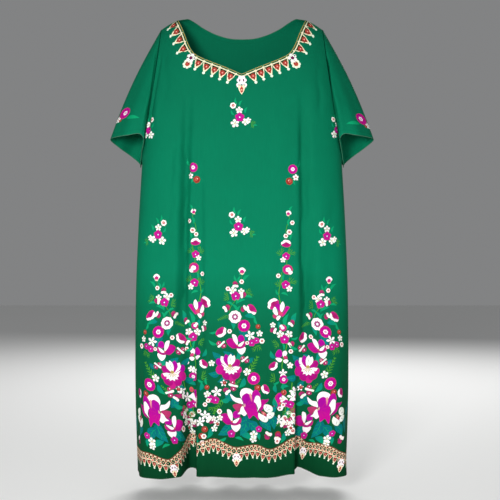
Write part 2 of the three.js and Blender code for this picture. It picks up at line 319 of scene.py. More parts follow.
class Panel:
    """A body panel. It maps between three ways to name a place on the cloth.

    Sheet is (u, v), each 0 to 1 across and down. Flat is millimetres on the cloth, measured across
    from the centre line and along from the shoulder line. Worn is the place in space.
    """

    ROWS_ABOVE = 0.33  # share of the sheet's rows that lie above the underarm

    def __init__(self, side):
        self.side = side
        self.facing = -1 if side == "front" else 1
        alongs = np.linspace(0, HEM_ALONG, MEASURED + 1)
        turns = np.linspace(-1, 1, SCAN + 1)
        rows = self.worn(alongs[:, None], turns[None, :], creased=False)
        steps = np.linalg.norm(np.diff(rows, axis=1), axis=2)
        self.arc = np.concatenate([np.zeros((MEASURED + 1, 1)), np.cumsum(steps, axis=1)], axis=1)
        self.middle = self.arc[:, SCAN // 2 : SCAN // 2 + 1]
        whole = self.arc[:, -1:]
        cut = edge_turn(alongs)
        count = np.arange(MEASURED + 1)
        left = 2 * between(self.arc, count, (1 - cut) / 2 * SCAN)[:, None] / whole
        right = 2 - 2 * between(self.arc, count, (1 + cut) / 2 * SCAN)[:, None] / whole
        even = np.linspace(-1, 1, EVENS + 1)[None, :]
        share = even * (1 - np.where(even < 0, left, right) * even**2)
        want = SEAM_GAP / 2 + (whole - SEAM_GAP) * (share + 1) / 2
        self.turn = np.array([np.interp(w, a, turns) for w, a in zip(want, self.arc)])
        self.across = want - self.middle
        evens = np.arange(EVENS + 1)
        self.top = self.edge_top(evens)
        foot = self.worn(np.full(EVENS + 1, HEM_ALONG), self.turn[-1], creased=False)[:, 0]
        self.lift = HEM_LIFT * np.maximum(fold_depth(FOLDS[side], foot, DOWN[-1]), 0)

    def worn(self, along, turn, creased=True):
        """A rounded oblong: half width by depth at each level, pushed in along its normal by the folds."""
        along, turn = np.broadcast_arrays(along, turn)
        half, deep = level(HALF, along), np.maximum(level(DEPTH[self.side], along), 1e-3)
        square, down = level(SQUARE, along), level(DOWN, along)
        s = np.sin(math.pi / 2 * turn)
        x = half * s
        y = deep * np.maximum(1 - np.abs(s) ** square, 0) ** (1 / square)
        out = np.stack(
            [np.sign(x) * np.abs(s) ** (square - 1) / half, (y / deep) ** (square - 1) / deep], axis=-1
        )
        out = unit(out)
        depth = fold_depth(FOLDS[self.side], x, down)
        if creased:
            edge = (edge_turn(along) - np.abs(turn)) * half
            depth = depth + crease_depth(CREASES[self.side], x, down) * smooth(edge / 40) * smooth(down / 30)
            deep_dip, far, wide = SEAM_DIP
            beside = smooth((down - 60) / 60) * smooth((UNDER_DOWN - down) / 60) * smooth(edge / 6) * (turn < 0)
            depth = depth + deep_dip * np.exp(-(((edge - far) / wide) ** 2)) * beside
        return np.stack(
            [x - out[..., 0] * depth, self.facing * (y - out[..., 1] * depth), height_at(along, x)], axis=-1
        )

    def row(self, along):
        return along / HEM_ALONG * MEASURED

    def turn_at(self, along, even):
        return between(self.turn, self.row(along), (even + 1) / 2 * EVENS)

    def edge_top(self, columns):
        """Where each column leaves the shoulder seam or the neckline."""
        across, below = zip(*NECK[self.side])

        def too_high(along):
            p = self.worn(along, between(self.turn, self.row(along), columns.astype(float)), creased=False)
            x = np.abs(p[:, 0])
            cut_away = (x < NECK_HALF) & (p[:, 2] > RIDGE_HEIGHT - curve(across, below, x))
            return cut_away | (np.abs(p[:, 1]) < SEAM_GAP / 2)

        zero = np.zeros(len(columns))
        return halved(zero, zero + UNDER_ALONG, too_high)

    def ends(self, even):
        at = (even + 1) / 2 * EVENS
        count = np.arange(EVENS + 1)
        return np.interp(at, count, self.top), HEM_ALONG - np.interp(at, count, self.lift)

    def along(self, u, v):
        top, foot = self.ends(2 * u - 1)
        t = v / self.ROWS_ABOVE
        low = (v - self.ROWS_ABOVE) / (1 - self.ROWS_ABOVE)
        return np.where(t < 1, mix(top, UNDER_ALONG, mix(t, smooth(t), 0.6)), mix(UNDER_ALONG, foot, low))

    def place(self, u, v):
        along = self.along(u, v)
        return self.worn(along, self.turn_at(along, 2 * u - 1))

    def flat(self, u, v):
        along = self.along(u, v)
        return np.stack([between(self.across, self.row(along), u * EVENS), along], axis=-1)

    def sheet(self, flat):
        """The sheet place of points on the flat cloth."""
        across, along = flat[:, 0], np.clip(flat[:, 1], 0, HEM_ALONG)
        row = self.row(along)
        one = np.ones(len(flat))
        even = halved(-one, one, lambda e: between(self.across, row, (e + 1) / 2 * EVENS) < across)
        top, foot = self.ends(even)
        t = np.linspace(0, 1, 400)
        above = np.interp((along - top) / (UNDER_ALONG - top), mix(t, smooth(t), 0.6), t) * self.ROWS_ABOVE
        low = (along - UNDER_ALONG) / (foot - UNDER_ALONG)
        below = self.ROWS_ABOVE + np.clip(low, 0, 1) * (1 - self.ROWS_ABOVE)
        return np.stack([(even + 1) / 2, np.where(along < UNDER_ALONG, above, below)], axis=-1)

    def seen(self, x, below):
        """The flat place of the cloth that hangs at x, this far below the origin, folds and all."""
        x, below = np.atleast_1d(x).astype(float), np.atleast_1d(below).astype(float)
        along = along_at(below + RIDGE_HEIGHT, x)
        turn = np.arcsin(np.clip(x / level(HALF, along), -0.995, 0.995)) / (math.pi / 2)
        for _ in range(8):
            off = x - self.worn(along, turn, creased=False)[:, 0]
            run = level(HALF, along) * np.cos(math.pi / 2 * turn) * math.pi / 2
            turn = np.clip(turn + 0.6 * off / np.maximum(run, 40), -1, 1)
        across = between(self.arc, self.row(along), (turn + 1) / 2 * SCAN)
        middle = np.interp(self.row(along), np.arange(MEASURED + 1), self.middle[:, 0])
        return np.stack([across - middle, along], axis=-1)

    def finished_edge(self, u, v):
        """Millimetres to the hem or neckline, and to the sewn edges."""
        flat = self.flat(u, v)
        top, foot = self.ends(2 * u - 1)
        x = np.abs(self.worn(top, self.turn_at(top, 2 * u - 1), creased=False)[..., 0])
        neck = np.where(x < NECK_HALF, flat[..., 1] - top, 999)
        shoulder = np.where(x < NECK_HALF, 999, flat[..., 1] - top)
        side = np.minimum(u, 1 - u) * 640
        return np.minimum(neck, foot - flat[..., 1]), np.minimum(shoulder, side)


class Sleeve:
    """A short wide sleeve, from the underarm seam round the outside and back to it.

    Its flat cloth is measured round each level from the outer line, and down to the cuff, which is 0.
    """

    LEVELS_DOWN = 40
    SEARCH_ACROSS = 300
    SEARCH_DOWN = 200

    def __init__(self, hand, front, back):
        self.hand = hand
        self.front, self.back = front, back
        self.hem = np.array([row[1:] for row in SLEEVE_HEM], float)
        u, v = np.meshgrid(np.linspace(0, 1, EVENS + 1), np.linspace(0, 1, self.LEVELS_DOWN + 1))
        rows = self.place(u, v)
        steps = np.linalg.norm(np.diff(rows, axis=1), axis=2)
        arc = np.concatenate([np.zeros((len(rows), 1)), np.cumsum(steps, axis=1)], axis=1)
        self.girth = arc[:, -1].mean()
        self.arc = arc - arc[:, EVENS // 2][:, None]
        falls = np.linalg.norm(np.diff(rows, axis=0), axis=2)
        fall = np.concatenate([np.zeros((1, EVENS + 1)), np.cumsum(falls, axis=0)])
        self.whole = fall[-1]
        self.fall = fall - self.whole

    def armhole(self, turned):
        """The panels' own cut edges: forward and down to the underarm, then up the back."""
        share = np.where(turned <= 0.5, 2 * turned, 2 - 2 * turned)
        along = UNDER_ALONG * share
        turn = edge_turn(along)
        fore = self.front.worn(along, turn, creased=False)
        aft = self.back.worn(along, turn, creased=False)
        return np.where((turned <= 0.5)[..., None], fore, aft)

    def cuff(self, turned):
        """A closed curve through the table's rows, with spans eased by the root of their length."""
        rows = len(self.hem)
        under = [row[0] for row in SLEEVE_HEM].index("underarm") / rows
        t = np.where(turned <= 0.5, 2 * turned * under, mix(under, 1, 2 * turned - 1)) * rows
        i = np.floor(t).astype(int)
        w = (t - i)[..., None]
        a, b, c, d = (self.hem[(i + k) % rows] for k in (-1, 0, 1, 2))
        pairs = ((a, b), (b, c), (c, d))
        ab, bc, cd = (np.sqrt(np.linalg.norm(q - p, axis=-1, keepdims=True)) for p, q in pairs)
        start = ((b - a) / ab - (c - a) / (ab + bc) + (c - b) / bc) * bc
        end = ((c - b) / bc - (d - b) / (bc + cd) + (d - c) / cd) * bc
        return b + start * w + (3 * (c - b) - 2 * start - end) * w**2 + (2 * (b - c) + start + end) * w**3

    def place(self, u, v):
        """Straight lines from the armhole to the cuff, puffed out in the middle, with soft creases."""
        turned = (u + 0.5) % 1
        start, end = self.armhole(turned), self.cuff(turned)
        start[..., 0] += SLEEVE_START
        reach = np.linalg.norm(end - start, axis=-1)
        puff = np.sin(math.pi * v) * np.minimum(1, reach / 120)
        p = mix(start, end, v[..., None])
        p[..., 0] += SLEEVE_PUFF_OUT * puff * np.cos(2 * math.pi * turned) ** 2
        p[..., 1] -= SLEEVE_PUFF_FORE * puff * np.sin(2 * math.pi * turned)
        around = 2 * math.pi * u
        ripple = np.sin(5 * around + 3 * v) + 0.7 * np.sin(9 * around - 2 * v + 1)
        droop = smooth(v * 2.5) * smooth(np.minimum(u, 1 - u) * 8)
        p[..., 1] += 1.6 * ripple * droop * np.sign(np.sin(2 * math.pi * turned))
        deep, far, wide, begin, finish = SLEEVE_DIPS[self.hand]
        beside = smooth((turned - begin) / 0.06) * smooth((finish - turned) / 0.08)
        off = v * reach
        p[..., 1] += deep * np.exp(-(((off - far) / wide) ** 2)) * smooth(off / 5) * beside
        p[..., 0] *= self.hand
        return p

    def flat(self, u, v):
        row, column = v * self.LEVELS_DOWN, u * EVENS
        return np.stack([between(self.arc, row, column) * self.hand, between(self.fall, row, column)], axis=-1)

    def sheet(self, flat):
        """The sheet place of points on the flat cloth, closed in on by turns round and down."""
        across, along = flat[:, 0] * self.hand, flat[:, 1]
        zero = np.zeros(len(flat))
        v = zero + 0.7
        for _ in range(6):
            row = v * self.LEVELS_DOWN
            u = halved(zero, zero + 1, lambda m: between(self.arc, row, m * EVENS) < across, 24)
            v = halved(
                zero, zero + 1, lambda m: between(self.fall, m * self.LEVELS_DOWN, u * EVENS) < along, 24
            )
        return np.stack([u, v], axis=-1)

    def hangs_at(self, out, below, front):
        """Sheet place of the cloth seen at a place from the front, on the sleeve's front or back half."""
        reach = (0.5, 0.98) if front else (0.02, 0.5)
        u, v = np.meshgrid(np.linspace(*reach, self.SEARCH_ACROSS), np.linspace(0.2, 1, self.SEARCH_DOWN))
        seen = self.place(u, v)
        miss = np.hypot(seen[..., 0] - out, seen[..., 2] + below)
        nearest = np.unravel_index(np.argmin(miss), miss.shape)
        return u[nearest], v[nearest]

    def finished_edge(self, u, v):
        whole = np.interp(u * EVENS, np.arange(EVENS + 1), self.whole)
        return (1 - v) * whole, np.minimum(v * whole, np.minimum(u, 1 - u) * self.girth)


# The print. A shape is (points, inner colour, outer colour, centre, radius), in units of its own size,
# with x to the right and y up the cloth.
COLOURS = {
    "magenta": (0.740, 0.030, 0.550),
    "deep_magenta": (0.600, 0.050, 0.420),
    "hot_pink": (0.750, 0.110, 0.500),
    "pink": (0.740, 0.230, 0.420),
    "violet": (0.620, 0.020, 0.590),
    "white": (0.985, 0.955, 0.965),
    "cream": (0.980, 0.930, 0.820),
    "ivory": (0.960, 0.910, 0.770),
    "peach": (0.920, 0.760, 0.620),
    "gold": (0.760, 0.620, 0.300),
    "red": (0.640, 0.230, 0.180),
    "wine": (0.600, 0.090, 0.360),
    "garnet": (0.400, 0.110, 0.080),
    "berry": (0.830, 0.360, 0.320),
    "blush": (0.930, 0.680, 0.620),
    "lilac": (0.890, 0.830, 0.910),
    "plum": (0.420, 0.120, 0.300),
    "pearl": (0.900, 0.970, 0.880),
    "teal": (0.000, 0.470, 0.480),
    "deep_teal": (0.000, 0.380, 0.420),
    "leaf": (0.030, 0.600, 0.400),
    "lime": (0.290, 0.610, 0.160),
    "shade": (0.080, 0.210, 0.100),
}


def shape(points, inner, outer=None, centre=(0, 0), radius=1.0):
    return (np.asarray(points, float), inner, outer or inner, np.asarray(centre, float), radius)


def turned(points, degrees):
    a = math.radians(degrees)
    return points @ np.array([[math.cos(a), math.sin(a)], [-math.sin(a), math.cos(a)]])


def round_spot(radius, lobes=0, bite=0.0, at=(0, 0), count=18):
    """A circle whose radius swells lobes times round it."""
    a = np.linspace(0, 2 * math.pi, max(count, lobes * 3), endpoint=False)
    r = radius * (1 + bite * np.cos(lobes * a))
    return np.stack([r * np.cos(a), r * np.sin(a)], axis=1) + at


def petal(length, width, degrees, start=0.0, blunt=0.75, notch=0.0):
    """A petal from the centre out: half width is a sine of a power of the way along, with a notched tip."""
    t = np.linspace(0, 1, 6)
    half = width / 2 * np.sin(math.pi * t ** (1 / blunt)) ** 0.8
    along = start + (length - start) * t
    along[-1] -= notch * length
    edge = np.stack([along, half], axis=1)
    points = np.concatenate([edge, (edge * [1, -1])[-2:0:-1]])
    return turned(points, degrees)


def rounded(points, steps=3):
    """A closed smooth curve through a few points, read off the photo for the larger flowers."""
    p = np.asarray(points, float)
    before, after, beyond = np.roll(p, 1, axis=0), np.roll(p, -1, axis=0), np.roll(p, -2, axis=0)
    made = []
    for t in np.arange(steps) / steps:
        made.append(
            0.5 * (2 * p + (after - before) * t + (2 * before - 5 * p + 4 * after - beyond) * t**2
                   + (3 * p - before - 3 * after + beyond) * t**3)
        )
    return np.stack(made, axis=1).reshape(-1, 2)


def oval(x, y, across, up, degrees=0.0, lobes=0, bite=0.0):
    """An ellipse, whose edge may swell lobes times."""
    return turned(round_spot(1, lobes, bite, count=12) * [across, up], degrees) + [x, y]


def leaf_outline(length, width, degrees, at=(0, 0), bend=0.15):
    """A pointed leaf on a bent middle line."""
    t = np.linspace(0, 1, 6)
    half = width / 2 * np.sin(math.pi * t**0.8)
    middle = bend * length * np.sin(math.pi * t)
    upper = np.stack([t * length, middle + half], axis=1)
    lower = np.stack([t * length, middle - half], axis=1)
    return turned(np.concatenate([upper, lower[-2:0:-1]]), degrees) + at


def strip(path, width):
    """A band of even or given half widths to both sides of a path."""
    path = np.asarray(path, float)
    along = unit(np.gradient(path, axis=0))
    side = np.stack([-along[:, 1], along[:, 0]], axis=1) * np.reshape(width, (-1, 1)) / 2
    return np.concatenate([path + side, (path - side)[::-1]])


def daisy():
    rays = [shape(petal(0.62, 0.1, k * 40, 0.3), "deep_magenta") for k in range(9)]
    return [
        shape(round_spot(1, 9, 0.05), "white", "white"),
        shape(round_spot(0.48, 9, 0.08), "wine", "deep_magenta", radius=0.48),
        *rays,
        shape(round_spot(0.24, 5, 0.1, count=10), "lilac"),
        shape(round_spot(0.1, count=7), "white"),
    ]


def rosette():
    rays = [shape(petal(0.9, 0.09, k * 36 + 9, 0.5), "deep_magenta") for k in range(10)]
    return [
        shape(round_spot(1, 13, 0.03), "deep_magenta", "hot_pink"),
        shape(round_spot(0.86, 13, 0.04), "magenta", "magenta"),
        *rays,
        shape(round_spot(0.4, 6, 0.1), "white"),
        shape(round_spot(0.2, count=9), "magenta"),
        shape(round_spot(0.1, count=6), "white"),
    ]


def blossom(petals, middle, core, count=5, width=0.8):
    around = [shape(petal(1, width, 90 + k * 360 / count, blunt=0.62, notch=0.05), middle, petals)
        for k in range(count)]
    return [*around, *core]


def blossom_white():
    heart = [shape(oval(0, 0, 0.16, 0.16), "peach"), shape(oval(0, 0, 0.07, 0.07), "gold")]
    return blossom("white", "pearl", heart, width=0.64)


def blossom_pink():
    return blossom(
        "magenta",
        "hot_pink",
        [shape(oval(0, 0, 0.3, 0.3, lobes=5, bite=0.15), "violet"), shape(oval(0, 0, 0.14, 0.14), "white")],
        width=0.86,
    )


def star():
    points = [shape(petal(1.05, 0.5, 90 + k * 72, blunt=0.72), "white") for k in range(5)]
    return [*points, shape(oval(0, 0, 0.18, 0.18), "pearl"), shape(oval(0, 0, 0.09, 0.09), "lime")]


def eye():
    return [
        shape(oval(0, 0, 0.95, 0.95, lobes=6, bite=0.08), "cream", "white"),
        shape(oval(0.05, 0.05, 0.47, 0.45), "wine", "berry", radius=0.5),
        shape(oval(0.05, 0.05, 0.13, 0.13), "cream"),
    ]


def berry():
    return [
        shape(oval(0, 0, 1, 1, lobes=7, bite=0.06), "garnet", "red"),
        shape(oval(-0.1, 0.1, 0.5, 0.5, lobes=5, bite=0.1), "garnet", "berry", (-0.1, 0.1), 0.5),
        shape(oval(0.2, 0.25, 0.2, 0.2), "blush"),
    ]


def bud():
    return [
        shape(leaf_outline(0.9, 0.3, 215, at=(-0.3, -0.6)), "leaf"),
        shape(leaf_outline(0.9, 0.3, -35, at=(0.3, -0.6), bend=-0.15), "leaf"),
        shape(rounded([(0, 1.05), (0.55, 0.85), (1.05, 0.25), (0.7, -0.3), (0.3, -0.95), (-0.3, -0.95),
            (-0.7, -0.3), (-1.05, 0.25), (-0.55, 0.85)]), "white"),
        shape(oval(0, -0.2, 0.6, 0.6, lobes=5, bite=0.08), "pink", "hot_pink", (0, -0.2), 0.6),
        shape(oval(0, -0.75, 0.3, 0.22), "peach"),
    ]


def half():
    """A small side-on flower: white lobes below and to the left of a pink cap."""
    return [
        shape(oval(-0.62, 0.2, 0.42, 0.36, 30), "white"),
        shape(oval(-0.12, -0.55, 0.36, 0.46, 20), "white"),
        shape(oval(-0.3, -0.1, 0.4, 0.4), "cream", "white"),
        shape(oval(0.4, 0.4, 0.62, 0.46, -45, lobes=6, bite=0.06), "pink", "wine", (0.4, 0.4), 0.6),
        shape(oval(0.25, 0.25, 0.26, 0.2, -45), "wine", "deep_magenta", (0.25, 0.25), 0.25),
        shape(oval(0.5, -0.3, 0.28, 0.22, -30), "wine"),
    ]


def twin():
    """Two small pink flowers with a white petal across between them."""
    return [
        shape(oval(-0.45, 0.42, 0.52, 0.42, 20, lobes=5, bite=0.1), "wine", "pink", (-0.45, 0.42), 0.5),
        shape(oval(0.42, -0.42, 0.6, 0.46, 20, lobes=5, bite=0.1), "pink", "wine", (0.42, -0.42), 0.55),
        shape(rounded([(-0.92, -0.2), (-0.7, -0.5), (-0.3, -0.4), (0.1, -0.12), (0.55, 0.12), (0.9, 0.3),
            (0.78, 0.62), (0.4, 0.5), (0.0, 0.22), (-0.5, 0.05)]), "white", "pearl"),
        shape(oval(-0.5, 0.45, 0.12, 0.12), "white"),
        shape(oval(0.5, -0.45, 0.12, 0.12), "white"),
    ]


def cup():
    """A bell seen from the side: a pink fan with a scalloped white brim below and to the left."""
    rays = [shape(petal(1.0, 0.09, 10 + k * 26, 0.25) + [-0.15, -0.1], "wine") for k in range(5)]
    return [
        shape(rounded([(-1.05, 0.25), (-0.85, 0.7), (-0.55, 0.8), (-0.2, 0.2), (0.5, -0.45), (0.95, -0.6),
            (0.6, -1.05), (0.2, -0.95), (-0.2, -1.0), (-0.64, -0.66), (-0.95, -0.2)]), "white"),
        shape(rounded([(-0.72, 0.86), (-0.2, 1.06), (0.4, 0.75), (0.84, 0.15), (1.02, -0.35), (0.78, -0.62),
            (0.35, -0.46), (-0.1, -0.4), (-0.42, -0.02), (-0.52, 0.5)]), "wine", "hot_pink", (-0.1, 0),
            1.0),
        *rays,
    ]


def disc():
    """A small round flower whose white heart sits low in a pink ring."""
    return [
        shape(oval(0, 0, 1, 0.98, lobes=9, bite=0.04), "hot_pink", "pink"),
        shape(oval(-0.15, 0.1, 0.74, 0.7, lobes=7, bite=0.05), "magenta", "hot_pink"),
        shape(oval(0.1, -0.05, 0.52, 0.46, lobes=5, bite=0.08), "white"),
        shape(oval(0.55, -0.6, 0.46, 0.36, 30), "white"),
        shape(oval(0.1, -0.05, 0.13, 0.13), "peach"),
    ]


def tulip():
    """A large flower seen from the side: magenta wings, a tall white petal and a white foot."""
    return [
        shape(rounded([(0.04, -0.76), (0.33, -0.78), (0.64, -0.64), (0.89, -0.68), (0.83, -1.05),
            (0.55, -1.36), (0.27, -1.24), (0.08, -1.0)]), "white"),
        shape(rounded([(0.0, -0.5), (0.33, -0.42), (0.7, -0.24), (0.86, -0.02), (0.91, -0.4), (0.66, -0.7),
            (0.27, -0.8), (0.0, -0.73)]), "deep_magenta", "hot_pink", (0.3, -0.5), 0.6),
        shape(rounded([(-1.02, -0.02), (-0.81, 0.18), (-0.5, 0.25), (-0.22, 0.04), (0.02, -0.25),
            (0.18, -0.52), (-0.01, -0.72), (-0.35, -0.78), (-0.65, -0.6), (-0.9, -0.35)]), "magenta",
            "deep_magenta", (-0.5, -0.2), 0.8),
        shape(rounded([(0.1, 0.22), (0.24, 0.5), (0.49, 0.56), (0.73, 0.36), (0.77, -0.02), (0.58, -0.05),
            (0.33, -0.16), (0.16, -0.02)]), "violet", "magenta", (0.4, 0.2), 0.5),
        shape(rounded([(-0.45, 0.53), (-0.34, 0.64), (-0.1, 0.55), (0.06, 0.28), (0.12, -0.09),
            (0.1, -0.44), (-0.1, -0.27), (-0.31, 0.04)]), "white"),
        shape(rounded([(0.14, -0.46), (0.33, -0.27), (0.74, -0.05), (0.64, -0.33), (0.46, -0.55),
            (0.21, -0.56)]), "white"),
        shape(oval(0.08, -0.46, 0.08, 0.08), "berry"),
    ]


def lotus():
    """A flower with upright petals: white, violet and magenta round a red heart."""
    return [
        shape(rounded([(-0.88, -0.5), (-0.5, -0.42), (-0.36, -0.85), (-0.75, -0.85)]), "hot_pink", "pink"),
        shape(rounded([(-0.3, -0.6), (0.02, -0.56), (-0.1, -0.9), (-0.35, -1.12), (-0.5, -0.85)]), "white"),
        shape(rounded([(0.05, -0.5), (0.35, -0.05), (0.6, 0.48), (1.0, 0.36), (0.78, 0.0), (0.5, -0.4),
            (0.2, -0.7)]), "hot_pink", "magenta", (0, -0.4), 1.1),
        shape(rounded([(-0.6, 0.55), (-0.3, 0.76), (-0.02, 0.62), (0.0, 0.2), (-0.1, -0.1), (-0.38, 0.1)]),
            "magenta", "violet"),
        shape(rounded([(-0.8, 0.28), (-0.6, 0.4), (-0.36, -0.1), (-0.32, -0.5), (-0.6, -0.48),
            (-0.88, -0.1)]), "white"),
        shape(rounded([(0.05, 0.8), (0.24, 1.0), (0.44, 0.6), (0.32, 0.1), (0.1, -0.2), (-0.06, 0.1),
            (-0.06, 0.5)]), "white"),
        shape(rounded([(-0.22, -0.02), (0.1, -0.15), (0.32, -0.4), (0.05, -0.62), (-0.27, -0.45)]), "berry",
            "hot_pink", (0, -0.3), 0.4),
    ]


def orchid():
    """A heart of magenta with white petals to its right and below it."""
    return [
        shape(rounded([(-0.95, 0.3), (-0.6, 0.95), (-0.2, 1.05), (0.12, 0.7), (0.1, 0.1), (-0.2, -0.15),
            (-0.7, -0.12)]), "magenta", "violet", (-0.4, 0.4), 0.8),
        shape(rounded([(0.2, 0.7), (0.6, 0.88), (0.88, 0.5), (0.6, 0.0), (0.3, -0.1), (0.15, 0.3)]), "white"),
        shape(rounded([(-0.92, -0.25), (-0.4, -0.18), (0.12, -0.42), (-0.1, -0.82), (-0.5, -0.75)]), "white"),
        shape(rounded([(0.28, -0.6), (0.6, -0.42), (0.98, -0.5), (1.05, -0.72), (0.7, -1.05),
            (0.38, -0.9)]), "white"),
        shape(oval(0.6, -0.15, 0.34, 0.26, -30, lobes=5, bite=0.1), "berry", "hot_pink", (0.6, -0.15), 0.34),
    ]


def side_bloom():
    """A tall magenta petal with white ones folded back beside it."""
    return [
        shape(rounded([(0.3, 0.55), (0.62, 0.36), (0.9, 0.02), (0.52, -0.3), (0.45, -0.62), (0.18, -1.22),
            (-0.08, -1.12), (0.12, -0.5), (0.16, 0)]), "white"),
        shape(oval(-0.34, 0.02, 0.52, 0.98, -18), "magenta", "hot_pink", (-0.2, -0.4), 1.1),
        shape(oval(-0.1, 0.5, 0.24, 0.5, -20), "violet", "magenta", (-0.1, 0.5), 0.5),
        shape(oval(0.46, 0.95, 0.26, 0.34), "pink", "berry", (0.46, 0.95), 0.3),
        shape(oval(-0.1, -0.35, 0.16, 0.16), "berry"),
    ]


def hibiscus():
    """A large open flower: a ring of pink petals, striped ones above and a ragged white heart."""
    ring = [shape(oval(x, y, a, b, c), "magenta", d, (0, 0), 1.1) for x, y, a, b, c, d in (
        (-0.70, 0.38, 0.26, 0.30, 20, "violet"), (-0.66, -0.20, 0.30, 0.36, 0, "hot_pink"),
        (-0.12, -0.66, 0.36, 0.30, -30, "deep_magenta"), (0.30, -0.85, 0.26, 0.30, 0, "hot_pink"),
        (0.56, -0.58, 0.36, 0.30, 40, "deep_magenta"), (0.80, -0.18, 0.22, 0.26, 0, "hot_pink"),
        (0.62, 0.30, 0.26, 0.34, -30, "deep_magenta"))]
    top = [shape(petal(k, w, a, blunt=0.72) + [0.05, -0.02], c, d) for k, w, a, c, d in (
        (1.05, 0.50, 126, "white", "white"), (1.05, 0.56, 104, "magenta", "violet"),
        (1.02, 0.42, 66, "white", "white"), (1.04, 0.38, 82, "white", "white"))]
    ragged = [(-0.54, 0.24), (-0.12, 0.04), (0.06, 0.12), (0.3, 0.02), (0.56, 0.08), (0.88, 0.02),
        (0.76, -0.2), (0.6, -0.2), (0.66, -0.4), (0.46, -0.36), (0.4, -0.54), (0.22, -0.44), (0.06, -0.56),
        (-0.02, -0.4), (-0.22, -0.44), (-0.18, -0.26), (-0.36, -0.2), (-0.3, -0.06)]
    threads = [shape(petal(0.44, 0.05, 210 + 24 * k, 0.04) + [0.12, 0.08], "gold", "lime") for k in range(6)]
    return [
        shape(oval(0, -0.1, 0.75, 0.7), "deep_magenta", "magenta"),
        *ring,
        *top,
        shape(petal(0.9, 0.03, 74, 0.2), "leaf"),
        shape(ragged, "white"),
        *threads,
        shape(oval(0.12, 0.12, 0.14, 0.12, lobes=5, bite=0.2), "gold", "leaf"),
    ]


def iris():
    """The largest flower: a white hood round a tall magenta body, white petals beside it and a spiked foot."""
    return [
        shape(rounded([(-1.24, 0.62), (-1.04, 0.49), (-0.87, 0.39), (-0.62, 0.36), (-0.5, 0.15),
            (-0.48, 0.02), (-0.74, 0.08), (-1.0, 0.19), (-1.15, 0.36)]), "white"),
        shape(rounded([(-1.09, -0.05), (-0.83, 0.05), (-0.57, 0.04), (-0.49, -0.11), (-0.64, -0.24),
            (-0.74, -0.45), (-0.96, -0.28)]), "pink", "wine", (-0.8, -0.1), 0.5),
        shape(rounded([(-0.49, -0.08), (-0.38, -0.28), (-0.3, -0.41), (-0.24, -0.54), (-0.4, -0.69),
            (-0.57, -0.58), (-0.79, -0.56), (-0.66, -0.41), (-0.62, -0.22)]), "white"),
        shape(rounded([(0.6, 0.27), (0.84, 0.28), (1.07, 0.32), (0.97, 0.15), (0.84, 0.02), (0.75, -0.24),
            (0.45, -0.45), (0.56, -0.11)]), "magenta", "deep_magenta", (0.7, 0), 0.5),
        shape(rounded([(-0.57, 0.36), (-0.66, 0.62), (-0.58, 0.87), (-0.36, 0.97), (-0.1, 0.93),
            (0.08, 0.82), (0.12, 0.7), (0.02, 0.55), (-0.2, 0.5), (-0.45, 0.4)]), "white"),
        shape(rounded([(0.08, 0.7), (0.24, 0.86), (0.41, 0.82), (0.54, 0.62), (0.57, 0.4), (0.4, 0.3),
            (0.24, 0.12), (0.08, 0.2), (0.05, 0.45)]), "violet", "magenta", (0.3, 0.4), 0.5),
        shape(rounded([(-0.53, 0.49), (-0.38, 0.62), (-0.25, 0.66), (-0.1, 0.58), (0.0, 0.3), (0.12, 0.18),
            (0.26, 0.1), (0.32, -0.11), (0.38, -0.41), (0.44, -0.5), (0.47, -0.94), (0.28, -0.76),
            (0.13, -0.66), (-0.1, -0.86), (-0.23, -0.58), (-0.36, -0.37), (-0.44, -0.18), (-0.46, 0.1),
            (-0.54, 0.32)]), "violet", "magenta", (-0.25, 0.3), 0.9),
        shape(rounded([(-0.1, 0.6), (0.0, 0.64), (0.06, 0.4), (0.07, 0.2), (0.02, 0.14), (-0.04, 0.36)]),
            "blush", "hot_pink", (0, 0.6), 0.5),
        shape(rounded([(0.26, 0.44), (0.37, 0.52), (0.52, 0.44), (0.58, 0.19), (0.6, -0.07), (0.5, -0.24),
            (0.37, -0.43), (0.41, -0.22), (0.28, 0.06), (0.18, 0.16)]), "white"),
        *[shape(petal(0.55, 0.03, k, 0.04) + [-0.3, -0.14], "hot_pink") for k in (-75, -50, -25, 20, 60)],
        *[shape(petal(0.2, 0.04, k, 0.0) + [-0.34, -0.14], "peach") for k in (100, 130, 170)],
    ]


def lily():
    """An open white flower of three folded petals round a streaked red heart."""
    folds = [shape(leaf_outline(k, 0.035, a, at=at), "shade") for k, a, at in (
        (0.6, 62, (-0.05, 0.28)), (0.5, 20, (0.1, 0.2)),
        (0.5, -32, (0.25, -0.22)), (0.5, -100, (-0.2, -0.42)))]
    return [
        shape(rounded([(-0.16, 0.87), (0.22, 0.91), (0.68, 0.64), (0.7, 0.18), (0.3, 0.03), (-0.08, 0.22),
            (-0.24, 0.56)]), "white", "pearl", (0, 0.3), 0.9),
        shape(rounded([(0.26, 0.0), (0.86, 0.05), (0.88, -0.27), (0.6, -0.56), (0.28, -0.6), (0.05, -0.3)]),
              "white", "pearl", (0.2, -0.2), 0.8),
        shape(rounded([(-0.77, 0.03), (-0.54, -0.1), (-0.08, -0.33), (0.26, -0.64), (0.07, -0.96),
            (-0.31, -0.92), (-0.66, -0.66), (-0.81, -0.35)]), "white", "pearl", (-0.2, -0.4), 0.8),
        *folds,
        shape(rounded([(-0.54, 0.2), (-0.24, 0.16), (0.1, -0.16), (0.0, -0.38), (-0.36, -0.14)]), "berry",
            "wine", (-0.2, 0), 0.4),
        *[shape(petal(0.42, 0.06, k, 0.04) + [-0.42, 0.1], "blush") for k in (-20, -48)],
    ]


def leaf():
    return [
        shape(leaf_outline(2, 0.9, 0, at=(-1, 0)), "teal", "leaf", (-1, 0), 2),
        shape(leaf_outline(1.7, 0.07, 0, at=(-0.9, 0)), "leaf"),
    ]


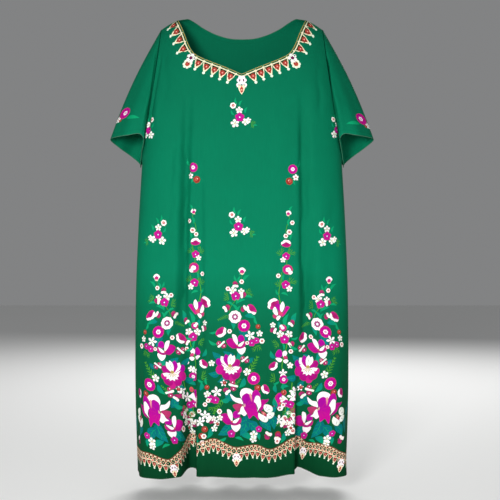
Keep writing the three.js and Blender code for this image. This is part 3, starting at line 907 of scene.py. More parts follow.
def big_leaf():
    veins = [shape(leaf_outline(0.5, 0.05, a, at=(x, 0.12)), "leaf")
        for x, a in ((-0.5, 50), (-0.1, 50), (0.3, 50))]
    more = [shape(leaf_outline(0.5, 0.05, -a, at=(x, 0.1)), "leaf")
        for x, a in ((-0.6, 42), (-0.2, 42), (0.2, 42))]
    return [
        shape(leaf_outline(2, 1.05, 0, at=(-1, 0)), "deep_teal", "teal", (-1, 0), 2),
        shape(leaf_outline(1.8, 0.07, 0, at=(-0.95, 0)), "leaf"),
        *veins,
        *more,
    ]


def green_leaf():
    return [shape(leaf_outline(2, 0.62, 0, at=(-1, 0)), "leaf")]


def fern():
    """A stem with pairs of narrow leaflets that shorten towards the tip."""
    x = np.linspace(-0.9, 0.8, 6)
    stem = strip(np.stack([np.linspace(-1, 1, 6), 0.06 * np.sin(np.linspace(0, 3, 6))], axis=1), 0.05)
    sides = [shape(leaf_outline(0.62 - 0.2 * (p + 1), 0.09, s * 42, at=(p, 0)), "lime")
        for p in x for s in (-1, 1)]
    return [shape(stem, "lime"), *sides]


def sprig():
    """A small fan of thin blades with a fork at the ends of the two longest."""
    fan = [(-72, 1.1), (-40, 1.5), (0, 1.2), (40, 1.5), (72, 1.1)]
    forks = [shape(leaf_outline(0.55, 0.12, a + f, at=turned(np.array([[0.7, 0]]), a)[0] + [-0.5, 0]), "lime")
             for a in (-40, 40) for f in (-38, 38)]
    return [*[shape(leaf_outline(k, 0.13, a, at=(-0.5, 0)), "lime") for a, k in fan], *forks]


def posy_stem():
    path = np.stack([np.linspace(-1, 1, 7), 0.15 * np.sin(np.linspace(0, 5, 7))], axis=1)
    return [shape(strip(path, 0.05), "lime")]


MOTIFS = {
    f.__name__: f()
    for f in (daisy, rosette, blossom_white, blossom_pink, star, eye, berry, bud, half, twin, cup, disc,
              tulip, lotus, orchid, side_bloom, hibiscus, iris, lily, leaf, big_leaf, green_leaf, fern,
              sprig, posy_stem)
}

# Each arrangement is rows of motif, across, up, radius, turn, in millimetres from its own middle.
BOUQUET = [
    ("green_leaf", -9, 42, 9, 100), ("green_leaf", 3, 36, 9, 65), ("green_leaf", -18, 12, 8, 120),
    ("green_leaf", 17, 18, 9, 70), ("eye", -17, 30, 8, 15), ("blossom_white", -1, 18, 10, 0),
    ("sprig", 34, -19, 10, -25), ("green_leaf", 40, -22, 6, 0), ("blossom_white", -12, -16, 12, 10),
    ("blossom_white", 15, -12, 10, 30), ("blossom_white", 22, -8, 8, 0), ("blossom_pink", 0, 0, 13, 0),
]
POSY = [
    ("green_leaf", -17, 15, 11, 112), ("rosette", 0, 0, 12, 0), ("blossom_white", -8, -21, 9, 0),
    ("berry", 9, -31, 9, 0), ("green_leaf", -5, -34, 7, 250), ("eye", -8, -21, 5, 0),
]
CUFF_WIDE = 1.35
CUFF_POSY = [
    ("green_leaf", 30, -20, 17, -8), ("rosette", 0, 0, 16, 0), ("rosette", 3, 0, 15, 0),
    ("blossom_white", -16, -16, 10, 0), ("eye", -16, -16, 4, 0), ("berry", -6, -19, 4, 0),
]
# Rows of motif, across from the cluster's middle, below the origin, radius, turn
CLUSTER = [
    ("big_leaf", -33, 884, 15, 160), ("big_leaf", -62, 888, 15, 150), ("leaf", -10, 890, 18, 250),
    ("big_leaf", 2, 838, 18, 300), ("leaf", -24, 812, 12, 285), ("big_leaf", 20, 900, 12, 200),
    ("big_leaf", -70, 935, 16, 185), ("big_leaf", -50, 950, 15, 215), ("leaf", 0, 960, 15, 240),
    ("big_leaf", -28, 990, 20, 120), ("leaf", -42, 1002, 15, 200), ("big_leaf", 3, 1068, 28, 255),
    ("big_leaf", -44, 1078, 24, 225), ("big_leaf", 26, 1076, 24, 310), ("big_leaf", 60, 1072, 20, 320),
    ("big_leaf", 76, 1060, 22, 290), ("leaf", 12, 1099, 17, 330), ("leaf", -84, 1090, 14, 250),
    ("big_leaf", 84, 1032, 15, 60), ("leaf", 88, 1010, 14, 110), ("leaf", 40, 1096, 12, 300),
    ("posy_stem", 0, 692, 14, 95), ("posy_stem", -22, 760, 26, 70), ("posy_stem", 36, 1000, 20, 60),
    ("green_leaf", -15, 692, 9, 115), ("green_leaf", -5, 694, 9, 70), ("green_leaf", 12, 692, 12, 45),
    ("bud", 1, 674, 9, 0), ("eye", 0, 701, 6, 0), ("half", -16, 709, 9, 60), ("eye", -35, 719, 6, 0),
    ("sprig", -39, 739, 12, 170), ("sprig", 20, 730, 12, 20), ("green_leaf", 18, 741, 10, -10),
    ("blossom_white", -23, 724, 11, 0), ("blossom_white", -1, 726, 9, 0), ("half", 3, 735, 9, -20),
    ("blossom_pink", -15, 738, 13, 0), ("green_leaf", -30, 758, 10, 330), ("green_leaf", -2, 752, 13, 20),
    ("green_leaf", -18, 768, 11, 300), ("green_leaf", -8, 772, 11, 60), ("green_leaf", -14, 752, 8, 270),
    ("half", -39, 769, 10, 0), ("half", 6, 770, 9, 180), ("cup", 25, 772, 13, 0),
    ("fern", -48, 793, 15, 205), ("leaf", 22, 792, 15, -15), ("green_leaf", 37, 800, 11, 105),
    ("daisy", -17, 791, 16, 0), ("rosette", 6, 814, 15.5, 0), ("berry", 42, 816, 6, 0),
    ("blossom_white", 46, 834, 9, 0), ("cup", -53, 830, 13, 90), ("eye", -31, 828, 6, 0),
    ("star", 22, 839, 13, 20), ("green_leaf", -74, 830, 10, 190), ("green_leaf", -74, 856, 13, 150),
    ("sprig", 38, 872, 13, -80), ("twin", -52, 862, 12, 15), ("tulip", -13, 852, 26, 0),
    ("blossom_pink", 26, 858, 10, 0), ("blossom_pink", 38, 852, 9, 20), ("eye", 52, 853, 7, 0),
    ("eye", 14, 858, 5, 0), ("fern", 30, 915, 26, 62), ("fern", -12, 962, 16, 50),
    ("blossom_white", -77, 910, 9, 0), ("hibiscus", -34, 920, 34, 0), ("twin", 8, 900, 11, 10),
    ("blossom_white", 14, 932, 11, 10), ("rosette", 31, 949, 16, 0), ("berry", 41, 973, 8, 0),
    ("cup", 61, 976, 11, -10), ("star", -46, 961, 9, 0), ("berry", -44, 960, 5, 0),
    ("twin", -22, 967, 13, -40), ("half", -38, 981, 10, 100), ("fern", -62, 1022, 22, 240),
    ("berry", -89, 972, 6, 0), ("green_leaf", -90, 956, 10, 95), ("blossom_white", -88, 990, 10, 0),
    ("star", -64, 984, 14, 10), ("blossom_pink", -79, 1002, 11, 0), ("blossom_pink", -67, 1005, 11, 0),
    ("eye", -86, 1006, 6, 0), ("eye", -94, 1016, 6, 0), ("sprig", -76, 1028, 12, 250),
    ("tulip", -26, 1046, 28, -4), ("iris", 24, 1015, 43, 0), ("lily", 62, 1037, 24, 0),
    ("star", -94, 1044, 13, 0), ("half", -80, 1056, 12, -60), ("blossom_white", -72, 1052, 8, 0),
    ("eye", -57, 1034, 7, 0), ("blossom_white", -56, 1050, 9, 0), ("blossom_white", -64, 1064, 9, 0),
    ("blossom_white", -70, 1078, 9, 0), ("berry", -62, 1066, 4, 0), ("berry", -95, 1080, 8, 0),
    ("eye", -97, 1098, 7, 0), ("blossom_pink", -26, 1090, 11, 0), ("blossom_pink", 44, 1078, 9, 0),
    ("blossom_white", 31, 1092, 11, 0), ("blossom_white", 30, 1104, 10, 20), ("half", 67, 1094, 11, 210),
    ("half", 93, 1100, 11, 45), ("green_leaf", -6, 1104, 12, 340), ("green_leaf", -50, 1104, 12, 200),
]
# The trail of flowers between two clusters: motif, across from its middle, below the origin, radius, turn
TRAIL = [
    ("posy_stem", 0, 560, 30, 90), ("posy_stem", 2, 640, 40, 95), ("posy_stem", -18, 720, 42, 95),
    ("posy_stem", -8, 900, 50, 92), ("posy_stem", 2, 1010, 50, 88), ("green_leaf", 9, 514, 8, 60),
    ("bud", 2, 526, 7, -20), ("green_leaf", 4, 548, 10, 80), ("eye", 12, 550, 6, 0), ("eye", 4, 574, 7, 0),
    ("eye", -5, 584, 6, 0), ("green_leaf", 10, 586, 9, 70), ("cup", -4, 604, 11, -135),
    ("sprig", -18, 624, 12, 125), ("sprig", 10, 626, 12, 55), ("blossom_pink", -4, 636, 11, 0),
    ("blossom_white", -12, 645, 8, 0), ("disc", 0, 670, 13, 0), ("eye", -24, 686, 6, 0),
    ("green_leaf", -10, 690, 9, 80), ("sprig", -22, 704, 12, 120), ("sprig", 12, 700, 13, 55),
    ("blossom_pink", -5, 709, 12, 0), ("blossom_white", 4, 719, 9, 0), ("green_leaf", -8, 734, 10, -20),
    ("green_leaf", -26, 728, 9, 120), ("cup", -37, 758, 14, -90), ("lotus", -18, 775, 23, 0),
    ("green_leaf", -2, 800, 18, 75), ("leaf", 19, 794, 14, 75), ("green_leaf", 6, 812, 13, 60),
    ("half", -36, 826, 9, 130), ("blossom_white", -38, 812, 8, 0), ("half", 10, 808, 9, 20),
    ("leaf", -24, 812, 9, 270), ("disc", -12, 820, 9, 180), ("blossom_white", -19, 836, 11, 0),
    ("blossom_white", 3, 836, 11, 20), ("blossom_pink", -8, 849, 13, 0), ("sprig", -31, 860, 12, 200),
    ("half", 9, 862, 9, 0), ("green_leaf", -12, 868, 10, 280), ("leaf", -38, 888, 12, 120),
    ("orchid", -16, 893, 17, 0), ("eye", 8, 880, 6, 0), ("cup", -37, 917, 11, 90), ("eye", 6, 915, 5, 0),
    ("sprig", -38, 947, 13, 165), ("star", -12, 936, 11, 0), ("rosette", -10, 952, 11, 0),
    ("green_leaf", -30, 960, 9, 200), ("leaf", -30, 974, 12, 95), ("leaf", -8, 972, 11, 10),
    ("side_bloom", -18, 1006, 21, 0), ("star", 17, 984, 13, 10), ("half", 17, 1000, 9, -20),
    ("green_leaf", -2, 1026, 12, 250), ("leaf", -6, 1040, 14, 240), ("half", 10, 1038, 13, 20),
    ("twin", 13, 1050, 11, 90), ("sprig", -23, 1066, 12, 265), ("eye", -8, 1052, 8, 0),
    ("twin", 2, 1066, 14, -20), ("eye", 13, 1086, 9, 0), ("berry", 24, 1072, 6, 0),
]
# How an arrangement shifts as the cloth falls: height below the origin, where its middle hangs, extra drop
CLUSTER_MIDDLES = {
    "left": [(690, -219, 17), (790, -209, 17), (850, -209, 17), (935, -207, 17), (1020, -203, 17),
        (1080, -198, 17)],
    "centre": [(690, 0, 0), (1080, 0, 0)],
    "right": [(690, 225, 24), (790, 212, 20), (852, 208, 13), (920, 200, 5), (949, 198, 15),
        (1020, 191, 11), (1080, 188, 13)],
}
TRAIL_MIDDLES = {
    "left": [(520, -122, -5), (670, -123, -5), (770, -132, -5), (1080, -137, -5)],
    "right": [(520, 118, 0), (1080, 118, 0)],
}
# Where the sleeve posies hang, near the photo's places: out and below, on the front and on the back
CUFF_HANGS = {-1: [(-309, 259), (-310, 258)], 1: [(316, 274), (317, 275)]}


def stamp(shapes, at, size, turn=0.0, flip=False):
    """Motif shapes moved to a place on the flat cloth, whose second number runs down the cloth."""
    made = []
    for points, inner, outer, centre, radius in shapes:
        both = turned(np.concatenate([points, [centre]]), turn) * size
        both = both * [-1 if flip else 1, -1] + at
        made.append((both[:-1], inner, outer, both[-1], radius * size))
    return made


def arrangement(panel, rows, middle, below, flip=False):
    """An arrangement's motifs, placed on a panel as a whole."""
    made = []
    home = panel.seen(middle, below)[0]
    for name, across, up, size, turn in rows:
        made += stamp(MOTIFS[name], home + [-across if flip else across, -up], size, turn, flip)
    return made


def fallen(panel, rows, middles, flip=False):
    """An arrangement's motifs, placed one by one where they hang."""
    across = np.array([row[1] for row in rows], float)
    below = np.array([row[2] for row in rows], float)
    heights, places, drops = zip(*middles)
    middle, drop = np.interp(below, heights, places), np.interp(below, heights, drops)
    spots = panel.seen(middle + (-across if flip else across), below + drop)
    made = []
    for (name, _, _, size, turn), spot in zip(rows, spots):
        made += stamp(MOTIFS[name], spot, size, turn, flip)
    return made


def along_path(path, at):
    """Places, directions and outward sides at distances along a path on the flat cloth."""
    run = np.concatenate([[0], np.cumsum(np.linalg.norm(np.diff(path, axis=0), axis=1))])
    here = np.stack([np.interp(at, run, path[:, k]) for k in (0, 1)], axis=-1)
    near = np.stack([np.interp(np.add(at, d), run, path[:, k]) for d in (-3, 3) for k in (0, 1)], axis=-1)
    forward = unit(near[..., 2:] - near[..., :2])
    return here, forward, np.stack([-forward[..., 1], forward[..., 0]], axis=-1)


def length_of(path):
    return np.linalg.norm(np.diff(path, axis=0), axis=1).sum()


def spaced_path(path, step):
    return along_path(path, np.arange(0, length_of(path), step))[0]


def offset_path(path, out):
    """The path moved sideways, to the right of its direction in cloth that runs down."""
    here, _, side = along_path(path, np.linspace(0, length_of(path), 160))
    return here + side * out


def tooth():
    """One lace tooth in millimetres below its rope: two arms that meet in a point, a gem and a pearl."""
    garnets = [shape(round_spot(1.5, count=6, at=at), "garnet")
        for at in ((-3.2, -9), (3.4, -9.6), (-0.8, -15))]
    return [
        shape([(-11, 1.2), (11, 1.2), (9, -9), (3, -24), (-3, -24), (-9, -9)], "ivory"),
        shape([(-8.6, -1.4), (8.6, -1.4), (6.6, -9), (1.8, -19), (-1.8, -19), (-6.6, -9)], "shade"),
        shape(round_spot(6.6, 5, 0.08, at=(0, -10.5), count=14), "berry", "red", (0, -10.5), 6),
        *garnets,
        shape(round_spot(1.7, count=6, at=(0.6, -10.4)), "blush"),
        shape(round_spot(2, count=6, at=(0, -18.4)), "red"),
        shape(petal(9.5, 7.4, -90, blunt=0.7) + [0, -22.5], "pearl"),
    ]


def pendant(middle="plum"):
    """A larger drop below a white flower, in millimetres below its rope."""
    ring = [shape(oval(8 * math.cos(a), -11 + 8 * math.sin(a), 5, 5), "white")
        for a in np.arange(0, 6) * math.pi / 3]
    lobes = [shape(oval(x, -24, 4.6, 6.4, -8 * np.sign(x)), "white") for x in (-9, 9)]
    spots = [shape(round_spot(1.8, count=6, at=at), "plum") for at in ((-6.6, -23.4), (6.6, -23.4))]
    return [
        *lobes,
        shape([(-9, -22), (9, -22), (9.4, -29), (7.4, -36), (4, -43), (0, -49), (-4, -43), (-7.4, -36),
            (-9.4, -29)], "ivory"),
        *spots,
        shape([(0, -25.5), (4.2, -33), (3.2, -41), (0, -45), (-3.2, -41), (-4.2, -33)], "red", "berry",
            (0, -35), 9),
        shape(round_spot(2, count=7, at=(0, -36.5)), "peach"),
        shape(round_spot(1.4, count=6, at=(1, -41.5)), "garnet"),
        shape(round_spot(8.6, 6, 0.04, at=(0, -11)), "white"),
        *ring,
        *[shape(oval(x, -11, 1.9, 3.8, 14 * np.sign(x)), middle) for x in (-5, 5)],
        shape(round_spot(3.4, 5, 0.08, at=(0, -11), count=10), "lilac", "white", (0, -11), 3.6),
    ]


def corner_pendant():
    """A white flower with a plum heart over a small ringed drop, in millimetres below its rope."""
    ring = [shape(petal(12.5, 9.5, 90 + k * 72, blunt=0.62) + [0, -8], "pearl", "white", (0, -8), 11)
        for k in range(5)]
    beads = [shape(oval(8.6 * math.cos(a), -25 + 8.6 * math.sin(a), 4, 4), "ivory", "pearl")
        for a in np.radians([150, 200, 245, 295, 340, 30])]
    return [
        *beads,
        shape(round_spot(8, count=14, at=(0, -25)), "ivory"),
        shape(round_spot(6, 5, 0.08, at=(0, -25), count=14), "berry", "red", (0, -25), 6),
        shape(round_spot(1.8, count=6, at=(-2.4, -22)), "garnet"),
        shape(round_spot(1.8, count=6, at=(2.6, -23)), "garnet"),
        shape(round_spot(1.8, count=6, at=(0, -19.5)), "white"),
        *ring,
        shape(round_spot(4.4, 5, 0.1, at=(0, -8), count=12), "plum", "plum"),
        shape(round_spot(2, count=6, at=(-8, -10)), "shade"),
        shape(round_spot(2, count=6, at=(8, -5)), "shade"),
    ]


def widened(shapes, wide):
    """Shapes made wider about their own middle by a factor."""
    return [(points * [wide, 1], a, b, centre * [wide, 1], radius) for points, a, b, centre, radius in shapes]


def hung_on(path, shapes, at, size=1.0, wide=1.0, lean=0.0, follow=1.0):
    """Shapes hung at distances along a path on its outer side, widened along it.

    They stand square to the path when follow is 1 and straight down when it is 0, with some lean.
    """
    shapes = widened(shapes, wide)
    made = []
    for place, forward, _ in zip(*along_path(path, np.asarray(at, float))):
        turn = math.degrees(math.atan2(-forward[1], forward[0]))
        made += stamp(shapes, place, size, turn * follow + lean)
    return made


def neck_trim(panel):
    """A printed lace garland that follows the neckline from one shoulder seam to the other."""
    even = np.linspace(-1, 1, 801)
    top = panel.ends(even)[0]
    x = np.abs(panel.worn(top, panel.turn_at(top, even), creased=False)[:, 0])
    keep = x < NECK_HALF - 1
    even, top = even[keep], top[keep]
    edge = np.stack([between(panel.across, panel.row(top), (even + 1) / 2 * EVENS), top], axis=-1)
    rope = offset_path(edge, 7)
    whole = length_of(rope)
    half = whole / 2
    corner = 141
    slope = [27 + 22.5 * k for k in range(5)]
    steep = [172 + 33 * k for k in range(4)]
    knots = [15.7 + 22.5 * k for k in range(6)] + [156 + 33 * k for k in range(4)]
    made = [
        (strip(spaced_path(offset_path(edge, 1.6), 7), 1.3), "gold"),
        (strip(spaced_path(offset_path(edge, 3.2), 7), 1.2), "shade"),
        (strip(spaced_path(rope, 6), 2.2), "ivory"),
    ]
    made = [(points, colour, colour, np.zeros(2), 1.0) for points, colour in made]
    for sign in (-1, 1):
        made += hung_on(rope, tooth(), [half + sign * s for s in slope], 1.04, 1.04)
        for k, s in enumerate(steep):
            made += hung_on(rope, tooth(), [half + sign * s], 1.0, 1.25 + 0.12 * k)
        made += hung_on(rope, [shape(round_spot(2.9, count=8, at=(0, 0.4)), "ivory")], [half + sign * s
            for s in knots])
        made += hung_on(rope, [shape(round_spot(1.4, count=6, at=(0, 5.2)), "leaf")], [half + sign * s
            for s in knots])
        made += hung_on(rope, corner_pendant(), [half + sign * corner], 1.05, 1.0, -sign * 14)
    made += hung_on(rope, pendant(), [half])
    return made


# The hem garland's top line as it hangs: across, below the origin
HEM_LINE = {
    "front": [
        (-263, 1139), (-238, 1141), (-218, 1147), (-185, 1157), (-164, 1143), (-148, 1123), (-136, 1102),
        (-121, 1102), (-115, 1118), (-99, 1114), (-72, 1106), (-46, 1116), (-17, 1127), (12, 1123),
        (40, 1121), (73, 1133), (102, 1123), (135, 1106), (151, 1110), (167, 1123), (192, 1121),
        (229, 1127), (249, 1139), (270, 1151),
    ],
    "back": [
        (-268, 1146), (-240, 1126), (-196, 1114), (-150, 1130), (-110, 1106), (-60, 1124), (-12, 1110),
        (40, 1126), (90, 1108), (140, 1132), (190, 1112), (240, 1128), (268, 1138),
    ],
}
HEM_PENDANTS = {"front": [-185, -13, 164, 264], "back": [-150, 40, 140, 240]}


def hem_trim(panel):
    """A printed lace garland that swings along above the hem."""
    line = panel.seen(*np.array(HEM_LINE[panel.side], float).T)
    reach = panel.across[-1]
    s = np.linspace(reach[0] - 4, reach[-1] + 4, 500)
    line = np.stack([s, curve(line[:, 0], line[:, 1], s)], axis=-1)
    upper, lower = line, offset_path(line, 14)
    whole = length_of(lower)
    made = [
        shape(strip(spaced_path(offset_path(line, -2.6), 8), 1.0), "red"),
        shape(strip(spaced_path(upper, 7), 2.1), "ivory"),
        shape(strip(spaced_path(lower, 7), 1.7), "blush"),
    ]
    cells = np.arange(5, length_of(upper), 11)
    cell = [
        shape([(-1, -0.1), (0, -1.25), (1, -0.1), (0.62, -0.1), (0, -0.8), (-0.62, -0.1)], "peach"),
        shape([(-1, -2.35), (0, -1.15), (1, -2.35), (0.62, -2.35), (0, -1.6), (-0.62, -2.35)], "ivory"),
        shape(round_spot(0.42, count=8, at=(0, -0.2)), "garnet", "red"),
        shape(round_spot(0.5, count=8, at=(0, -2.1)), "red", "berry"),
        shape(round_spot(0.26, count=6, at=(1, -1.2)), "blush"),
    ]
    made += hung_on(upper, cell, cells, 6.0)
    made += hung_on(lower, tooth(), np.arange(9, whole, 15), 0.58, 1.1, follow=0.5)
    drops = panel.seen(np.array(HEM_PENDANTS[panel.side], float), np.full(4, 1120.0))[:, 0]
    along = np.concatenate([[0], np.cumsum(np.linalg.norm(np.diff(lower, axis=0), axis=1))])
    made += hung_on(lower, pendant(), np.interp(drops, lower[:, 0], along), 0.68, 1.2, follow=0)
    return made


def panel_print(panel):
    """Everything printed on a body panel: bouquets, trails, clusters and the two garlands."""
    made = []
    for middle, below, flip in (
        (-5, 280, False), (-8, 560, False), (-217, 580, True), (221, 584, False), (-245, 308, True),
        (249, 306, False),
    ):
        made += arrangement(panel, BOUQUET, middle, below, flip)
    for middle, below, flip in ((-125, 408, False), (131, 413, True)):
        made += arrangement(panel, POSY, middle, below, flip)
    made += fallen(panel, TRAIL, TRAIL_MIDDLES["left"], flip=True)
    made += fallen(panel, TRAIL, TRAIL_MIDDLES["right"])
    made += fallen(panel, CLUSTER, CLUSTER_MIDDLES["left"], flip=True)
    made += fallen(panel, CLUSTER, CLUSTER_MIDDLES["right"])
    made += fallen(panel, CLUSTER, CLUSTER_MIDDLES["centre"])
    made += hem_trim(panel)
    if panel.side == "front":
        made += neck_trim(panel)
    return made


def sleeve_print(sleeve):
    """Two small posies, front and back, above the cuff, each with its long leaf towards the body."""
    made = []
    for (out, below), front in zip(CUFF_HANGS[sleeve.hand], (True, False)):
        u, v = sleeve.hangs_at(out, below, front)
        home = sleeve.flat(np.array([u]), np.array([v]))[0]
        flip = (sleeve.hand > 0) != front
        for name, across, up, size, turn in CUFF_POSY:
            spot = home + [-across * CUFF_WIDE if flip else across * CUFF_WIDE, -up]
            made += stamp(widened(MOTIFS[name], CUFF_WIDE), spot, size, turn, flip)
    return made


def printed_grid(form, shapes, columns, rows, width, length):
    """A triangle mesh of the sheet (u, v) whose edges follow a regular grid and every printed shape.

    Shapes that run off the cloth are cut at its edge, and dropped where nothing is left. Returns the
    sheet places, the triangles, and for each triangle the topmost shape or -1.
    """
    u, v = np.meshgrid(np.linspace(0, 1, columns + 1), np.linspace(0, 1, rows + 1), indexing="ij")
    points = [np.stack([u.ravel(), v.ravel()], axis=1) * [width, length]]
    faces, kept, count = [], [], len(points[0])
    for k, (outline, *_) in enumerate(shapes):
        inside = form.sheet(outline)
        placed = np.clip(inside, 0.0004, 0.9996)
        free = np.all(inside == placed, axis=1)
        whole_edges = np.nonzero(free & np.roll(free, -1))[0]
        placed = placed * [width, length]
        x, y = placed.T
        area = np.sum(x * np.roll(y, -1) - y * np.roll(x, -1)) / 2
        if abs(area) < 0.05 or not len(whole_edges):
            continue
        # The first edge tells the triangulation which side is inside, so it is one that wasn't cut.
        first = whole_edges[0]
        corners = np.roll(np.arange(count, count + len(placed)), -first)
        faces.append((corners if area > 0 else np.roll(corners[::-1], 2)).tolist())
        kept.append(k)
        points.append(placed)
        count += len(placed)
    points = np.concatenate(points)
    out = delaunay_2d_cdt([Vector(p) for p in points.tolist()], [], faces, 0, 1e-4)
    made = np.array([tuple(p) for p in out[0]]) / [width, length]
    top = np.fromiter((kept[max(f)] if f else -1 for f in out[5]), int, len(out[5]))
    return made, np.array(out[2]), top


def rim_order(sheet):
    """Places on the sheet's edge in order round it, as (index, distance round)."""
    u, v = sheet[:, 0], sheet[:, 1]
    near = 1e-6
    round_it = np.full(len(sheet), -1.0)
    round_it[v < near] = u[v < near]
    round_it[u > 1 - near] = 1 + v[u > 1 - near]
    round_it[v > 1 - near] = 3 - u[v > 1 - near]
    left = (u < near) & (v > near)
    round_it[left] = 4 - v[left]
    edge = np.nonzero(round_it >= 0)[0]
    return edge[np.argsort(round_it[edge])]


def normals_of(form, sheet):
    """Across the two directions of the sheet, by small steps inside it."""
    u, v = sheet[:, 0], sheet[:, 1]
    step = 0.002
    across = form.place(np.minimum(u + step, 1), v) - form.place(np.maximum(u - step, 0), v)
    down = form.place(u, np.minimum(v + step, 1)) - form.place(u, np.maximum(v - step, 0))
    return unit(np.cross(down, across))


def linear(colour):
    c = np.asarray(colour, float)
    return np.where(c <= 0.04045, c / 12.92, ((c + 0.055) / 1.055) ** 2.4)


def cloth_piece(name, form, shapes, columns, rows, width, length, thick, outward):
    """A closed wall of cloth: a printed outer face, a plain inner face on the bare grid and a rim.

    Both faces lie half the cloth's thickness off the form's middle surface, along its normal.
    """
    sheet, faces, top = printed_grid(form, shapes, columns, rows, width, length)
    plain, plain_faces, _ = printed_grid(form, [], columns, rows, width, length)
    both = np.concatenate([sheet, plain])
    normal = normals_of(form, both) * outward
    place = form.place(both[:, 0], both[:, 1])
    outer = np.arange(len(both)) < len(sheet)
    place = place + normal * np.where(outer, thick / 2, -thick / 2)[:, None]
    ring, inner_ring = rim_order(sheet), rim_order(plain) + len(sheet)
    if len(ring) != len(inner_ring):
        raise RuntimeError(f"{name}: the two faces' edges don't match, {len(ring)} and {len(inner_ring)}")
    after, inner_after = np.roll(ring, -1), np.roll(inner_ring, -1)
    rim = np.concatenate([
        np.stack([ring, after, inner_after], axis=1),
        np.stack([ring, inner_after, inner_ring], axis=1),
    ])
    if outward > 0:
        outside, inside, edge = faces[:, ::-1], plain_faces + len(sheet), rim
    else:
        outside, inside, edge = faces, plain_faces[:, ::-1] + len(sheet), rim[:, ::-1]
    triangles = np.concatenate([outside, inside, edge])
    mesh = bpy.data.meshes.new(name)
    mesh.from_pydata((place * MM).tolist(), [], triangles.tolist())
    store_cloth(mesh, form, both, triangles, shapes, top)
    mesh.polygons.foreach_set("use_smooth", np.ones(len(triangles), bool))
    mesh.set_sharp_from_angle(angle=math.radians(62))
    mesh.update()
    obj = bpy.data.objects.new(name, mesh)
    bpy.context.scene.collection.objects.link(obj)
    return obj


def store_cloth(mesh, form, sheet, triangles, shapes, top):
    """The flat cloth as a UV map, the distances to edges and seams, and the print's colours."""
    flat = form.flat(sheet[:, 0], sheet[:, 1])
    corner = triangles.ravel()
    layer = mesh.uv_layers.new(name="flat_cloth")
    layer.data.foreach_set("uv", (flat[corner] * MM).astype(np.float32).ravel())
    finished, sewn = form.finished_edge(sheet[:, 0], sheet[:, 1])
    edges = np.stack([finished, sewn, np.zeros(len(sheet))], axis=1)
    edge_layer = mesh.attributes.new("edge_distance", "FLOAT_VECTOR", "POINT")
    edge_layer.data.foreach_set("vector", edges.astype(np.float32).ravel())
    colour = np.zeros((len(triangles), 3, 4))
    if shapes:
        inner = linear([COLOURS[s[1]] for s in shapes])
        outer = linear([COLOURS[s[2]] for s in shapes])
        centre, radius = np.array([s[3] for s in shapes]), np.array([s[4] for s in shapes])
        has = np.nonzero(top >= 0)[0]
        which = top[has]
        off = flat[triangles[has]] - centre[which][:, None, :]
        share = np.clip(np.linalg.norm(off, axis=2) / radius[which][:, None], 0, 1)[..., None]
        colour[has, :, :3] = mix(inner[which][:, None, :], outer[which][:, None, :], share)
        colour[has, :, 3] = 1
    layer = mesh.color_attributes.new("print", "FLOAT_COLOR", "CORNER")
    layer.data.foreach_set("color", colour.astype(np.float32).ravel())


# Shader helpers

class Value:
    """A socket that can be used in arithmetic."""

    def __init__(self, sheet, socket):
        self.sheet = sheet
        self.socket = socket

    def _math(self, operation, *others):
        return self.sheet.node("ShaderNodeMath", {"operation": operation}, *others)

    def __add__(self, other):
        return self._math("ADD", self, other)

    __radd__ = __add__

    def __mul__(self, other):
        return self._math("MULTIPLY", self, other)

    __rmul__ = __mul__

    def __sub__(self, other):
        return self._math("SUBTRACT", self, other)

    def __truediv__(self, other):
        return self._math("DIVIDE", self, other)

    def __lt__(self, other):
        return self._math("LESS_THAN", self, other)

    def __gt__(self, other):
        return self._math("GREATER_THAN", self, other)

    def sine(self):
        return self._math("SINE", self)

    def absolute(self):
        return self._math("ABSOLUTE", self)



class Finish:
    """One material's node sheet."""

    def __init__(self, name):
        self.material = bpy.data.materials.new(name)
        self.material.use_nodes = True
        self.tree = self.material.node_tree
        self.shader = self.tree.nodes["Principled BSDF"]

    def node(self, kind, settings=None, *values, out=0, **named):
        """Makes a node, sets it up, then fills its sockets with values or links."""
        made = self.tree.nodes.new(kind)
        for key, setting in (settings or {}).items():
            if key == "stops":
                ramp = made.color_ramp
                while len(ramp.elements) < len(setting):
                    ramp.elements.new(0.5)
                for element, (place, colour) in zip(ramp.elements, setting):
                    element.position, element.color = place, colour
            else:
                setattr(made, key, setting)
        pairs = list(enumerate(values)) + [(k.replace("_", " "), v) for k, v in named.items()]
        for key, value in pairs:
            self.fill(made.inputs[key], value)
        return Value(self, made.outputs[out])

    def fill(self, socket, value):
        if isinstance(value, Value):
            self.tree.links.new(value.socket, socket)
        elif value is not None:
            socket.default_value = value

    def blend(self, factor, a, b, how="MIX"):
        made = self.tree.nodes.new("ShaderNodeMix")
        made.data_type = "RGBA"
        made.blend_type = how
        for key, value in ((0, factor), (6, a), (7, b)):
            self.fill(made.inputs[key], value)
        return Value(self, made.outputs[2])

    def vector(self, operation, *values):
        return self.node("ShaderNodeVectorMath", {"operation": operation}, *values)

    def split(self, vector):
        made = self.tree.nodes.new("ShaderNodeSeparateXYZ")
        self.fill(made.inputs[0], vector)
        return [Value(self, made.outputs[k]) for k in range(3)]

    def ramp(self, value, stops):
        return self.node("ShaderNodeValToRGB", {"stops": stops}, value)

    def noise(self, place, scale, detail=2.0, rough=0.5):
        return self.node(
            "ShaderNodeTexNoise", {}, Vector=place, Scale=scale, Detail=detail, Roughness=rough
        )

    def feed(self, name, value):
        self.fill(self.shader.inputs[name], value)


def grey(value):
    return (value, value, value, 1.0)


def rgba(colour, scale=1.0):
    r, g, b = linear(colour) * scale
    return (float(r), float(g), float(b), 1.0)


